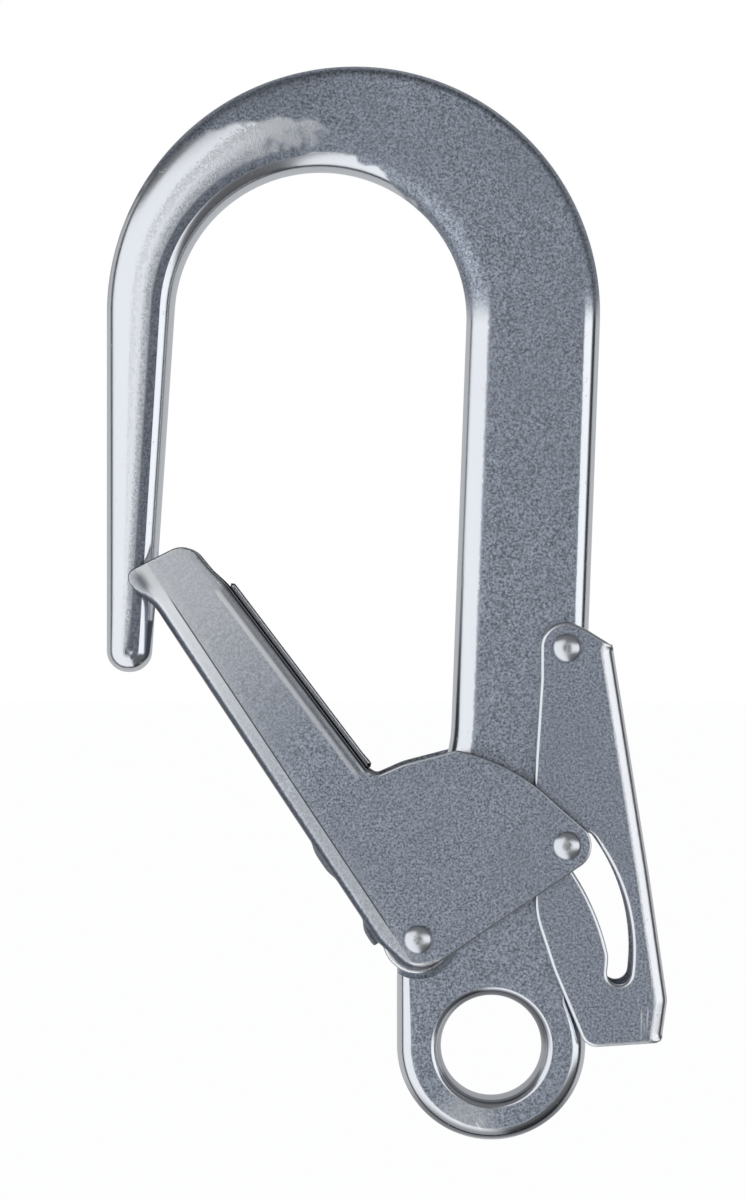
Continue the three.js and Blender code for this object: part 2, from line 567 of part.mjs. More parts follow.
const hook = new THREE.Group();
hook.add(piece("hook_body", surface(hookBody()), FINISH.forged));
const gateRivet = shouldered(GATE_RIVET_SHANK, GATE_IN, GATE_OUT, GATE_PIVOT);
hook.add(piece("gate_pivot_rivet", surface(gateRivet), FINISH.rivet));
hook.add(piece("gate_washer_front", washer(-1, GATE_PIVOT), FINISH.rivet));
hook.add(piece("gate_washer_back", washer(1, GATE_PIVOT), FINISH.rivet));
const leverRivet = shouldered(LEVER_RIVET_SHANK, LEVER_IN, LEVER_OUT, LEVER_PIVOT);
hook.add(piece("lever_pivot_rivet", surface(leverRivet), FINISH.rivet));

const gate = new THREE.Group();
gate.position.set(GATE_PIVOT.x, 0, GATE_PIVOT.z);
gate.rotation.y = -THREE.MathUtils.degToRad(GATE_LEAN);
gate.add(piece("gate", surface(gateShell()), FINISH.sheet));
const lockPin = headed(LOCK_PIN.radius, GATE_OUT, PIN_LOCAL);
gate.add(piece("lock_pin", surface(lockPin), FINISH.rivet));
gate.add(piece("gate_spring_front", torsionSpring(GATE_SPRING, GATE_IN, -1), FINISH.spring));
gate.add(piece("gate_spring_back", torsionSpring(GATE_SPRING, GATE_IN, 1), FINISH.spring));
hook.add(gate);

const lever = new THREE.Group();
lever.position.set(LEVER_PIVOT.x, 0, LEVER_PIVOT.z);
lever.add(piece("lock_lever", surface(leverShell()), FINISH.sheet));
lever.add(piece("lever_spring", torsionSpring(LEVER_SPRING, LEVER_IN, 1), FINISH.spring));
hook.add(lever);

export default hook;
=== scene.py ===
"""Looks of a double-action scaffold hook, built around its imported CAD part.

Every piece is a fine surface worked out from the hook's own dimensions: a forged body, a gate and a
lock lever folded from sheet, domed rivets, washers and torsion springs. Lengths in this file are
millimetres until a mesh is made; the scene is in metres, +Z up, with the front facing -Y.
"""

from __future__ import annotations

import json
import logging
import math
from collections.abc import Callable
from dataclasses import dataclass, field, replace
from enum import Enum

import bmesh
import bpy
import numpy as np
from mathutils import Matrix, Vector, geometry

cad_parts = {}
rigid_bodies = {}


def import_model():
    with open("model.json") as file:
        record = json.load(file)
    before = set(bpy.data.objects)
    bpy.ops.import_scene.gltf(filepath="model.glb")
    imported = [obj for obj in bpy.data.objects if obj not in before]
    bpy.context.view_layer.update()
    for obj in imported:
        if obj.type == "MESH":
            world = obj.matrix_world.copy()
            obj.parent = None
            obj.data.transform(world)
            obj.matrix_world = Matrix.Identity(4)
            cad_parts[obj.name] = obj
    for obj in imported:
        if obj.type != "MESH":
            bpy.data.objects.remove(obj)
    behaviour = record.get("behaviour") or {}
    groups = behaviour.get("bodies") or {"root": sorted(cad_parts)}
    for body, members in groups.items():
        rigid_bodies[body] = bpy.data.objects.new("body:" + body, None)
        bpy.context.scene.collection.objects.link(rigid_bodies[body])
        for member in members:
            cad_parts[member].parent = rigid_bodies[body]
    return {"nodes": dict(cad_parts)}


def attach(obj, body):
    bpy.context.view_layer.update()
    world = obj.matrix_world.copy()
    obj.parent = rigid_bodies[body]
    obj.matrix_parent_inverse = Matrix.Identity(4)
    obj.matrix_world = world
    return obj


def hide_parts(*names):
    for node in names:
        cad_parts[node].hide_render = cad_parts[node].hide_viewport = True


LOG = logging.getLogger("scaffold_hook")
MM = 0.001
FLOAT, VECTOR = "NodeSocketFloat", "NodeSocketVector"
NO_POINTS = np.zeros((0, 2))
ORIGIN = np.zeros(2)


class Body(Enum):
    """The moving bodies of the record."""

    ROOT = "root"
    GATE = "gate"
    LEVER = "lever"


class Slot(Enum):
    """The record's material slots."""

    FORGED = "forged_steel"
    SHEET = "sheet_steel"
    RIVET = "rivet_steel"
    SPRING = "spring_steel"


# ---------------------------------------------------------------- dimensions
@dataclass(frozen=True)
class Dimensions:
    """Sizes of the hook, in millimetres and degrees."""

    mouth_radius: float = 29.95
    mouth_shift: float = 0.2
    crown_height: float = 21.66
    body_half: float = 5.0
    nose_width: float = 13.87
    nose_length: float = 72.55
    nose_taper: float = 0.0661
    nose_tip_radius: float = 4.4
    nose_half: float = 4.3
    nose_easing: float = 33.6
    shank_width: float = 27.41
    shank_lean: float = 0.0373
    shank_end_rise: float = 39.6
    shank_end_radius: float = 25.0
    lobe_radius: float = 5.0
    heel_offset: float = 4.2
    eye_radius: float = 19.3
    eye_bore: float = 10.3
    bore_rounding: float = 2.2
    eye_drop: float = 3.1
    sheet: float = 1.5
    lever_gap: float = 0.35
    cheek_gap: float = 0.35
    tip_gap: float = 0.35
    gate_drop: float = 126.65
    gate_inset: float = 10.05
    gate_over: float = 2.1
    gate_above: float = 24.88
    open_lean: float = 8.33
    web_offset: float = 7.2
    web_short: float = 12.4
    cheek_tip_width: float = 7.6
    cheek_root_width: float = 10.4
    plate_rim: float = 3.5
    plate_top: float = 31.6
    pivot_corner: float = 6.25
    pin_corner: float = 5.0
    lever_rise: float = 59.1
    lever_inset: float = 7.16
    lever_foot: float = 21.9
    lever_corner: float = 5.3
    lever_ratio: float = 0.125
    pin_radius: float = 1.65
    pin_beyond: float = 8.29
    pin_angle: float = 32.2
    pin_clearance: float = 0.4
    slot_play: float = 0.85
    slot_overrun: float = 2.6
    gate_hole: float = 2.55
    lever_hole: float = 2.35
    gate_shank: float = 2.4
    lever_shank: float = 2.2
    washer_rim: float = 4.7
    head_radius: float = 2.9
    head_rise: float = 1.5
    head_gap: float = 0.08
    spigot: float = 2.0
    running_fit: float = 0.15

    @property
    def mouth(self) -> np.ndarray:
        """Middle of the inside of the arch."""
        return np.array([self.mouth_shift, -self.mouth_radius])

    @property
    def nose_outer(self) -> float:
        """Outer edge of the nose arm."""
        return self.mouth_shift - self.mouth_radius - self.nose_width

    @property
    def nose_tip(self) -> float:
        """Height of the nose tip."""
        return -self.mouth_radius - self.nose_length

    @property
    def arch_radius(self) -> float:
        """Radius of the outside of the arch."""
        return self.mouth_radius + (self.nose_width + self.shank_width) / 2

    @property
    def arch(self) -> np.ndarray:
        """Middle of the outside of the arch."""
        radius = self.arch_radius
        return np.array([self.nose_outer + radius, self.crown_height - radius])

    @property
    def gate_pivot(self) -> np.ndarray:
        """Axis of the gate."""
        x = self.mouth_shift + self.mouth_radius - self.gate_inset
        return np.array([x, -self.mouth_radius - self.gate_drop])

    @property
    def lever_pivot(self) -> np.ndarray:
        """Axis of the lock lever."""
        x = self.mouth_shift + self.mouth_radius + self.shank_width - self.lever_inset
        return np.array([x, self.gate_pivot[1] + self.lever_rise])

    @property
    def eye(self) -> np.ndarray:
        """Middle of the eye."""
        x = self.gate_pivot[0] - self.heel_offset + self.eye_radius
        return np.array([x, self.gate_pivot[1] - self.eye_drop - self.eye_radius])

    @property
    def pin_swing(self) -> float:
        """Distance of the lock pin from the gate's axis."""
        return self.shank_width + self.pin_beyond

    @property
    def lock_point(self) -> np.ndarray:
        """Place of the lock pin with the gate closed."""
        return around(self.gate_pivot, self.pin_swing, self.pin_angle)

    @property
    def gate_span(self) -> np.ndarray:
        """Leftward and upward reach of the closed gate."""
        left = self.gate_pivot[0] - self.nose_inner(self.nose_tip) - self.gate_over
        return np.array([left, self.nose_tip + self.gate_above - self.gate_pivot[1]])

    @property
    def gate_length(self) -> float:
        """Length of the gate from its axis to its tip."""
        return float(np.hypot(*self.gate_span))

    @property
    def gate_lean(self) -> float:
        """Degrees that the closed gate leans to the left."""
        return math.degrees(math.atan2(*self.gate_span))

    @property
    def gate_pin(self) -> np.ndarray:
        """Place of the lock pin in the gate's own frame."""
        return around(ORIGIN, self.pin_swing, self.pin_angle - self.gate_lean)

    @property
    def lever_in(self) -> float:
        """Inside of the lever's cheeks."""
        return self.body_half + self.lever_gap

    @property
    def lever_out(self) -> float:
        """Outside of the lever's cheeks."""
        return self.lever_in + self.sheet

    @property
    def gate_in(self) -> float:
        """Inside of the gate's cheeks."""
        return self.lever_out + self.cheek_gap

    @property
    def gate_out(self) -> float:
        """Outside of the gate's cheeks."""
        return self.gate_in + self.sheet

    def nose_inner(self, z: float) -> float:
        """X of the nose arm's inner edge at a height."""
        lean = self.nose_taper * (z + self.mouth_radius)
        return self.mouth_shift + lean - self.mouth_radius * math.hypot(1, self.nose_taper)

    def shank_inner(self, z: float) -> float:
        """X of the shank's inner edge at a height."""
        lean = self.shank_lean * (z + self.mouth_radius)
        return self.mouth_shift + lean + self.mouth_radius * math.hypot(1, self.shank_lean)

    def shank_outer(self, z: float) -> float:
        """X of the shank's outer edge at a height."""
        lean = self.shank_lean * (z - self.arch[1])
        return self.arch[0] + lean + self.arch_radius * math.hypot(1, self.shank_lean)


# ---------------------------------------------------------------- points of the x-z plane
def around(centre: np.ndarray, radius: float, degrees: float) -> np.ndarray:
    """The point at a distance and an angle from a centre."""
    angle = math.radians(degrees)
    return np.asarray(centre) + radius * np.array([math.cos(angle), math.sin(angle)])


def circle(count: int, sense: int = 1) -> np.ndarray:
    """Points of a unit circle, anticlockwise or, with a sense of -1, clockwise."""
    angle = np.linspace(0, sense * 2 * np.pi, count, endpoint=False)
    return np.column_stack([np.cos(angle), np.sin(angle)])


def rotated(points: np.ndarray, degrees: float) -> np.ndarray:
    """Points turned anticlockwise about the origin."""
    c, s = math.cos(math.radians(degrees)), math.sin(math.radians(degrees))
    x, z = points[..., 0], points[..., 1]
    return np.stack([x * c - z * s, x * s + z * c], axis=-1)


def eased(share: np.ndarray) -> np.ndarray:
    """A smooth step from 0 to 1 over a share."""
    share = np.clip(share, 0, 1)
    return share * share * (3 - 2 * share)


def lengths(line: np.ndarray) -> np.ndarray:
    """Length along a line to each of its points."""
    return np.concatenate([[0], np.cumsum(np.hypot(*np.diff(line[:, :2], axis=0).T))])


@dataclass(frozen=True)
class Corner:
    """A corner of an outline, rounded by an arc that touches both its edges."""

    x: float
    z: float
    radius: float = 0.0
    width: float = 0.0
    width_after: float | None = None


@dataclass(frozen=True)
class Arc:
    """An arc of an outline, whose width runs from its first to its last value."""

    centre: np.ndarray
    radius: float
    start: float
    stop: float
    width: float = 0.0
    width_after: float | None = None

    def points(self, step: float = 2.0) -> np.ndarray:
        """Rows of x, z and width, a step in degrees apart."""
        count = max(3, math.ceil(abs(self.stop - self.start) / step))
        share = np.linspace(0, 1, count + 1)
        angle = np.radians(self.start + (self.stop - self.start) * share)
        last = self.width if self.width_after is None else self.width_after
        x = self.centre[0] + self.radius * np.cos(angle)
        z = self.centre[1] + self.radius * np.sin(angle)
        return np.column_stack([x, z, self.width + (last - self.width) * share])


def bend(corner: Corner, before: np.ndarray, after: np.ndarray) -> np.ndarray:
    """Rows of a corner's arc, which touches the edges to the points before and after it."""
    here = np.array([corner.x, corner.z])
    if not corner.radius:
        return np.array([[*here, corner.width]])
    back, ahead = before - here, after - here
    back, ahead = back / np.hypot(*back), ahead / np.hypot(*ahead)
    half = math.acos(np.clip(back @ ahead, -1, 1)) / 2
    middle = (back + ahead) / np.hypot(*(back + ahead))
    centre = here + middle * corner.radius / math.sin(half)
    touch = corner.radius / math.tan(half)
    start, stop = here + back * touch - centre, here + ahead * touch - centre
    first = math.atan2(start[1], start[0])
    turn = math.atan2(stop[1], stop[0]) - first
    turn = (turn + math.pi) % (2 * math.pi) - math.pi
    ends = math.degrees(first), math.degrees(first + turn)
    return Arc(centre, corner.radius, *ends, corner.width, corner.width_after).points(6.0)


def rounded(corners: list[Corner | Arc]) -> np.ndarray:
    """Closed outline through corners and arcs.

    Args:
        corners: the outline's corners and arcs, anticlockwise.

    Returns:
        Rows of x, z and width.
    """
    arcs = [item.points() if isinstance(item, Arc) else None for item in corners]
    spots = [
        np.array([[item.x, item.z]]) if arc is None else arc[:, :2]
        for item, arc in zip(corners, arcs)
    ]
    after = spots[1:] + spots[:1]
    return np.vstack(
        [
            bend(item, spots[i - 1][-1], after[i][0]) if arc is None else arc
            for i, (item, arc) in enumerate(zip(corners, arcs))
        ]
    )


def evenly(rows: np.ndarray, spacing: float) -> np.ndarray:
    """The same closed outline, with points a set distance apart."""
    line = np.vstack([rows, rows[:1]])
    steps = np.hypot(*np.diff(line[:, :2], axis=0).T)
    line = line[np.concatenate([[True], steps > 1e-9])]
    along = lengths(line)
    count = max(3, round(along[-1] / spacing))
    places = np.linspace(0, along[-1], count + 1)[:-1]
    return np.column_stack([np.interp(places, along, column) for column in line.T])


def inward(points: np.ndarray, closed: bool = True) -> np.ndarray:
    """Unit normals to the left of a line, which is inside for an anticlockwise outline."""
    if closed:
        along = np.roll(points, -1, axis=0) - np.roll(points, 1, axis=0)
    else:
        along = np.gradient(points, axis=0)
    along /= np.hypot(*along.T)[:, None]
    return np.column_stack([-along[:, 1], along[:, 0]])


def holds(loop: np.ndarray, points: np.ndarray) -> np.ndarray:
    """Whether each point lies in an outline: a ray to the right crosses it an odd number of
    times.
    """
    a, b = loop, np.roll(loop, -1, axis=0)
    x, z = points[:, :1], points[:, 1:2]
    spans = (a[:, 1] > z) != (b[:, 1] > z)
    rise = np.where(b[:, 1] == a[:, 1], 1e-12, b[:, 1] - a[:, 1])
    crossing = (b[:, 0] - a[:, 0]) * (z - a[:, 1]) / rise + a[:, 0]
    return (spans & (x < crossing)).sum(axis=1) % 2 == 1


def within(loops: list[np.ndarray], points: np.ndarray) -> np.ndarray:
    """Whether each point lies in the first outline and in none of the others, its holes."""
    keep = holds(loops[0], points)
    for hole in loops[1:]:
        keep &= ~holds(hole, points)
    return keep


def nearest(
    line: np.ndarray, points: np.ndarray, closed: bool
) -> tuple[np.ndarray, np.ndarray, np.ndarray]:
    """Distance from points to a line.

    Args:
        line: the line's points.
        points: the points to measure.
        closed: whether the line's end joins its start.

    Returns:
        The distances, the unit vectors away from the line and the places along it in points.
    """
    a = line if closed else line[:-1]
    b = np.roll(line, -1, axis=0) if closed else line[1:]
    edge = b - a
    length = np.maximum((edge**2).sum(axis=1), 1e-12)
    best, along, foot = np.zeros(len(points)), np.zeros(len(points)), np.zeros((len(points), 2))
    block = 1500
    for first in range(0, len(points), block):
        rows = slice(first, first + block)
        p = points[rows]
        t = np.clip(((p[:, None] - a) * edge).sum(axis=2) / length, 0, 1)
        spot = a + t[..., None] * edge
        far = np.hypot(*np.moveaxis(p[:, None] - spot, 2, 0))
        k, row = far.argmin(axis=1), np.arange(len(p))
        best[rows], foot[rows], along[rows] = far[row, k], spot[row, k], k + t[row, k]
    return best, (points - foot) / np.maximum(best, 1e-9)[:, None], along


def triangulated(
    loops: list[np.ndarray], stacked: np.ndarray
) -> tuple[np.ndarray, np.ndarray, list[list[int]]]:
    """Triangulates points so that the edges of loops are kept.

    Args:
        loops: closed loops.
        stacked: the loops' points, and further points after them.

    Returns:
        The triangulation's points, its triangles and the stacked rows behind each of its points.
    """
    edges, first = [], 0
    for loop in loops:
        row = np.arange(len(loop))
        edges += (np.column_stack([row, np.roll(row, -1)]) + first).tolist()
        first += len(loop)
    spots, _, faces, origin, _, _ = geometry.delaunay_2d_cdt(
        [Vector(p) for p in stacked.tolist()], edges, [], 0, 1e-6
    )
    return np.array([p[:] for p in spots]), np.array([f[:] for f in faces]), origin


def triangles(loops: list[np.ndarray], inner: np.ndarray = NO_POINTS) -> np.ndarray:
    """Triangles of a plane region with holes.

    Args:
        loops: the outline, then its holes.
        inner: further points inside the region.

    Returns:
        Triples of rows of the stacked loops and inner points, anticlockwise.
    """
    stacked = np.vstack([*loops, inner])
    _, faces, origin = triangulated(loops, stacked)
    tri = np.array([ids[0] for ids in origin])[faces]
    tri = tri[within(loops, stacked[tri].mean(axis=1))]
    a, b, c = stacked[tri].transpose(1, 0, 2)
    (u, v), (s, t) = (b - a).T, (c - a).T
    turn = u * t - v * s
    tri[turn < 0] = tri[turn < 0][:, ::-1]
    return tri[np.abs(turn) > 1e-9]


def union(loops: list[np.ndarray]) -> np.ndarray:
    """The outline of overlapping outlines, anticlockwise: the edges with a face on one side."""
    flat, tri, _ = triangulated(loops, np.vstack(loops))
    middle = flat[tri].mean(axis=1)
    tri = tri[np.any([holds(loop, middle) for loop in loops], axis=0)]
    used = {(a, b) for t in tri.tolist() for a, b in zip(t, t[1:] + t[:1])}
    after = {a: b for a, b in used if (b, a) not in used}
    start = next(iter(after))
    order, here = [start], after[start]
    while here != start:
        order.append(here)
        here = after[here]
    return flat[order]


def thinned(points: np.ndarray, gap: float) -> np.ndarray:
    """Points of which no two share a cell of a fine lattice."""
    cell = np.round(points / gap).astype(np.int64)
    _, rows = np.unique(cell, axis=0, return_index=True)
    return points[np.sort(rows)]


# ---------------------------------------------------------------- meshes
def place(points: np.ndarray, depth: np.ndarray) -> np.ndarray:
    """Points in the x-z plane at their depths."""
    depth = np.broadcast_to(depth, points.shape[:-1])
    return np.stack([points[..., 0], depth, points[..., 1]], axis=-1)


def smooth(mesh: bpy.types.Mesh, sharp: float) -> None:
    """Shades a mesh smooth with sharp edges past an angle in degrees."""
    mesh.polygons.foreach_set("use_smooth", np.ones(len(mesh.polygons), bool))
    mesh.set_sharp_from_angle(angle=math.radians(sharp))
    mesh.update()


@dataclass
class Skin:
    """Vertices and faces that are collected before a mesh is made."""

    vertices: list[np.ndarray] = field(default_factory=list)
    faces: list[list[int]] = field(default_factory=list)
    count: int = 0

    def add(self, points: np.ndarray) -> np.ndarray:
        """Adds vertices and returns their numbers, in the shape of the points."""
        flat = points.reshape(-1, 3)
        first = self.count
        self.vertices.append(flat)
        self.count += len(flat)
        return np.arange(first, self.count).reshape(points.shape[:-1])

    def grid(
        self, ids: np.ndarray, wrap: bool = False, flip: bool = False, close: bool = False
    ) -> None:
        """Quads over a grid of vertex numbers; wrap closes its columns, close its rows."""
        if wrap:
            ids = np.concatenate([ids, ids[:, :1]], axis=1)
        if close:
            ids = np.concatenate([ids, ids[:1]], axis=0)
        quads = np.stack([ids[:-1, :-1], ids[:-1, 1:], ids[1:, 1:], ids[1:, :-1]], -1)
        self.fan(quads.reshape(-1, 4), flip)

    def fan(self, ids: np.ndarray, flip: bool = False) -> None:
        """Faces by vertex numbers."""
        self.faces += (ids[:, ::-1] if flip else ids).tolist()

    def cap(self, ring: np.ndarray, tip: np.ndarray) -> None:
        """Closes a ring of vertex numbers over a point."""
        point = self.add(tip[None])[0]
        self.fan(np.column_stack([ring, np.roll(ring, -1), np.full(len(ring), point)]))

    def show(self, name: str, sharp: float = 40.0) -> bpy.types.Object:
        """An object at the origin with a smooth mesh, sharp past an angle in degrees."""
        mesh = bpy.data.meshes.new(name)
        mesh.from_pydata((np.vstack(self.vertices) * MM).tolist(), [], self.faces)
        work = bmesh.new()
        work.from_mesh(mesh)
        bmesh.ops.remove_doubles(work, verts=work.verts, dist=2e-6)
        bmesh.ops.dissolve_degenerate(work, edges=work.edges, dist=1e-7)
        bmesh.ops.recalc_face_normals(work, faces=work.faces)
        work.to_mesh(mesh)
        work.free()
        smooth(mesh, sharp)
        return linked(name, mesh)


def linked(name: str, data: bpy.types.ID) -> bpy.types.Object:
    """An object at the origin, in the scene."""
    obj = bpy.data.objects.new(name, data)
    bpy.context.scene.collection.objects.link(obj)
    return obj


def prism(loop: np.ndarray, front: float, back: float) -> Skin:
    """A straight cutter over an outline."""
    skin = Skin()
    ids = skin.add(np.stack([place(loop, front), place(loop, back)]))
    skin.grid(ids, wrap=True)
    tri = triangles([loop])
    skin.fan(ids[0][tri])
    skin.fan(ids[1][tri], flip=True)
    return skin


def ring_cutter(
    centre: np.ndarray, inner: float, outer: float, front: float, back: float
) -> Skin:
    """A ring-shaped cutter, or a drum when it has no inner radius."""
    spoke = circle(96)
    if not inner:
        return prism(centre + spoke * outer, front, back)
    skin = Skin()
    profile = [(inner, front), (outer, front), (outer, back), (inner, back)]
    ids = skin.add(np.stack([place(centre + spoke * r, y) for r, y in profile]))
    skin.grid(ids, wrap=True, close=True)
    return skin


def carve(obj: bpy.types.Object, cutters: list[Skin], sharp: float) -> None:
    """Cuts solids out of an object's mesh for good."""
    helpers = [cutter.show(f"cutter_{i}") for i, cutter in enumerate(cutters)]
    for helper in helpers:
        cut = obj.modifiers.new(helper.name, "BOOLEAN")
        cut.operation = "DIFFERENCE"
        cut.solver = "EXACT"
        cut.object = helper
    graph = bpy.context.evaluated_depsgraph_get()
    rough, obj.data = obj.data, bpy.data.meshes.new_from_object(obj.evaluated_get(graph))
    obj.modifiers.clear()
    obj.data.name = rough.name
    for spent in [rough, *(helper.data for helper in helpers)]:
        bpy.data.meshes.remove(spent)
    smooth(obj.data, sharp)


# ---------------------------------------------------------------- forged body
@dataclass
class HookBody:
    """The forged hook: arch, nose arm, shank and eye.

    Attributes:
        size: the hook's dimensions.
        spacing: distance between the rings' points.
        levels: number of rings from back to front.
        fullness: power of the superellipse that rounds the edges.
        smoothing: number of points that the roundings' widths are averaged over.
        crown_start: degrees round the mouth at which the crown begins, and over which it grows.
        crown_end: height above the nose tip at which the crown ends, and over which it grows.
        crown_margin: flat width between the crown and the arm's inner edge.
        crown_widths: least and greatest width of the crown.
        crown_slope: depth of the crown for its width.
        crown_depth: greatest depth of the crown.
        notch_turn: degrees over which the notch follows the pin below its place.
        beyond: how far the cutters stand out of the faces.
    """

    size: Dimensions
    spacing: float = 0.6
    levels: int = 45
    fullness: float = 2.3
    smoothing: int = 23
    crown_start: tuple[float, float] = (62.0, 36.0)
    crown_end: tuple[float, float] = (3.0, 9.0)
    crown_margin: float = 4.9
    crown_widths: tuple[float, float] = (3.9, 15.2)
    crown_slope: float = 0.2
    crown_depth: float = 2.4
    notch_turn: float = 14.0
    beyond: float = 1.0

    def outline(self) -> np.ndarray:
        """Rows of x, z, the rounding's width and the crown's width and depth, anticlockwise."""
        d = self.size
        pivot, arch, mouth = d.gate_pivot, d.arch, d.mouth
        flank = d.pin_swing - d.pin_radius - d.pin_clearance - 0.25
        lip = d.lock_point[1] - 3.6
        lean = math.degrees(math.atan(d.shank_lean))
        taper = math.degrees(math.atan(d.nose_taper))
        turn = pivot[1] + d.shank_end_rise
        lobe_end = 180 + math.degrees(math.acos(d.heel_offset / d.lobe_radius))
        rows = rounded(
            [
                Arc(pivot, flank, -19, 23, 1.6),
                Corner(d.shank_outer(lip), lip, 2.2, 1.4),
                Corner(d.shank_outer(d.lever_pivot[1]), d.lever_pivot[1], 0, 3.7),
                Arc(arch, d.arch_radius, -lean, 20, 4.2, 3.8),
                Arc(arch, d.arch_radius, 20, 34, 3.8, 2.3),
                Arc(arch, d.arch_radius, 34, 95, 2.3, 2.3),
                Arc(arch, d.arch_radius, 95, 180, 2.3, 4.4),
                Corner(d.nose_outer, -d.mouth_radius - d.nose_easing, 0, 4.4),
                Corner(d.nose_outer, d.nose_tip, d.nose_tip_radius, 3.9),
                Corner(d.nose_inner(d.nose_tip), d.nose_tip, d.nose_tip_radius, 4.1, 3.7),
                Arc(mouth, d.mouth_radius, 180 - taper, 98, 4.0, 4.2),
                Arc(mouth, d.mouth_radius, 98, -lean, 4.3, 6.0),
                Corner(d.shank_inner(turn), turn, d.shank_end_radius, 5.8),
                Arc(pivot, d.lobe_radius, 164, lobe_end, 2.6),
                Arc(d.eye, d.eye_radius, 180, 390, 3.4),
            ]
        )
        even = evenly(rows, self.spacing)
        even = np.column_stack([even, *self.crown(even[:, :2])])
        kernel = np.hanning(self.smoothing) / np.hanning(self.smoothing).sum()
        margin = self.smoothing // 2
        for column in even.T[2:]:
            padded = np.concatenate([column[-margin:], column, column[:margin]])
            column[:] = np.convolve(padded, kernel, "valid")
        return even

    def crown(self, edge: np.ndarray) -> tuple[np.ndarray, np.ndarray]:
        """Width and depth of the gentle slope inside the rounding of the outer left edge.

        It runs from the top of the arch down the nose arm and ends short of the inner edge.
        """
        d = self.size
        from_mouth = edge - d.mouth
        arch = from_mouth[:, 1] > 0
        turn = np.degrees(np.arctan2(from_mouth[:, 1], from_mouth[:, 0]))
        inner = np.array([d.nose_inner(z) for z in edge[:, 1]])
        across = np.where(arch, np.hypot(*from_mouth.T) - d.mouth_radius, inner - edge[:, 0])
        outer = np.where(arch, across > 4, (edge[:, 0] < 0) & (across > 5.5))
        first, over = self.crown_start
        last, rise = self.crown_end
        end = np.clip((edge[:, 1] - d.nose_tip - last) / rise, 0, 1)
        fade = np.where(arch, eased((turn - first) / over), end) * outer
        width = np.clip(across - self.crown_margin, *self.crown_widths)
        deep = np.clip(self.crown_slope * width, 0, self.crown_depth)
        return 1 + (width - 1) * outer, fade * deep

    def half(self, points: np.ndarray) -> np.ndarray:
        """Half thickness: it eases down the nose arm."""
        d = self.size
        down = np.clip(-(points[..., 1] + d.mouth_radius) / d.nose_length, 0, 1)
        arm = d.body_half + (d.nose_half - d.body_half) * down
        return np.where(points[..., 0] < -d.mouth_radius / 2, arm, d.body_half)

    def build(self) -> bpy.types.Object:
        """The body with its notch, pockets and rivet holes cut."""
        d = self.size
        rows = self.outline()
        edge, (width, reach, depth) = rows[:, :2], rows.T[2:]
        phi = np.linspace(-np.pi / 2, np.pi / 2, self.levels)[:, None]
        full = width + np.clip(reach - width, 0, None) * np.clip(depth / 0.4, 0, 1)
        far = full * (1 - np.cos(phi) ** (2 / self.fullness))
        near = 1 - np.clip(far / width, 0, 1)
        slope = 1 - np.clip(far / np.maximum(full, 0.1), 0, 1)
        half = self.half(edge)
        fall = 1 - (1 - near**self.fullness) ** (1 / self.fullness)
        fall = (half - depth) * fall + depth * slope**2
        rings = edge + inward(edge) * far[..., None]
        skin = Skin()
        wall = skin.add(place(rings, np.sign(phi) * (half - fall)))
        skin.grid(wall, wrap=True)
        radius = d.eye_bore + d.bore_rounding * (1 - np.cos(phi))
        bore = d.eye + circle(180, -1) * radius[..., None]
        hole = skin.add(place(bore, np.sin(phi) * d.body_half))
        skin.grid(hole, wrap=True)
        for k, flip in ((0, False), (-1, True)):
            ids = np.concatenate([wall[k], hole[k]])
            skin.fan(ids[triangles([rings[k], bore[k]])], flip)
        obj = skin.show("hook_body_fine")
        carve(obj, self.cutters(), 35.0)
        return obj

    def cutters(self) -> list[Skin]:
        """Solids of the notch, the spring pockets and the rivet holes."""
        d = self.size
        over = d.body_half + self.beyond
        sweep = d.pin_radius + d.pin_clearance
        low, high = d.pin_angle - self.notch_turn, d.pin_angle
        arcs = [
            Arc(d.gate_pivot, d.pin_swing + sweep, low, high).points(),
            Arc(d.lock_point, sweep, high, high + 180).points()[1:-1],
            Arc(d.gate_pivot, d.pin_swing - sweep, high, low).points(),
        ]
        x, z = d.lock_point
        right, low, high = x + d.shank_width, z - sweep - self.beyond, z + sweep
        mouth = [[x, low], [right, low], [right, high], [x, high]]
        gate, lever = GATE_SPRING, LEVER_SPRING
        gate_floor, lever_floor = gate.floor(d.gate_in), lever.floor(d.lever_in)
        return [
            prism(np.vstack(arcs)[:, :2], -over, over),
            prism(np.array(mouth), -over, over),
            ring_cutter(d.gate_pivot, 0, d.gate_hole, -over, over),
            ring_cutter(d.lever_pivot, 0, d.lever_hole, -over, over),
            ring_cutter(d.gate_pivot, gate.core, gate.rim, -over, -gate_floor),
            ring_cutter(d.gate_pivot, gate.core, gate.rim, gate_floor, over),
            ring_cutter(d.lever_pivot, lever.core, lever.rim, lever_floor, over),
        ]


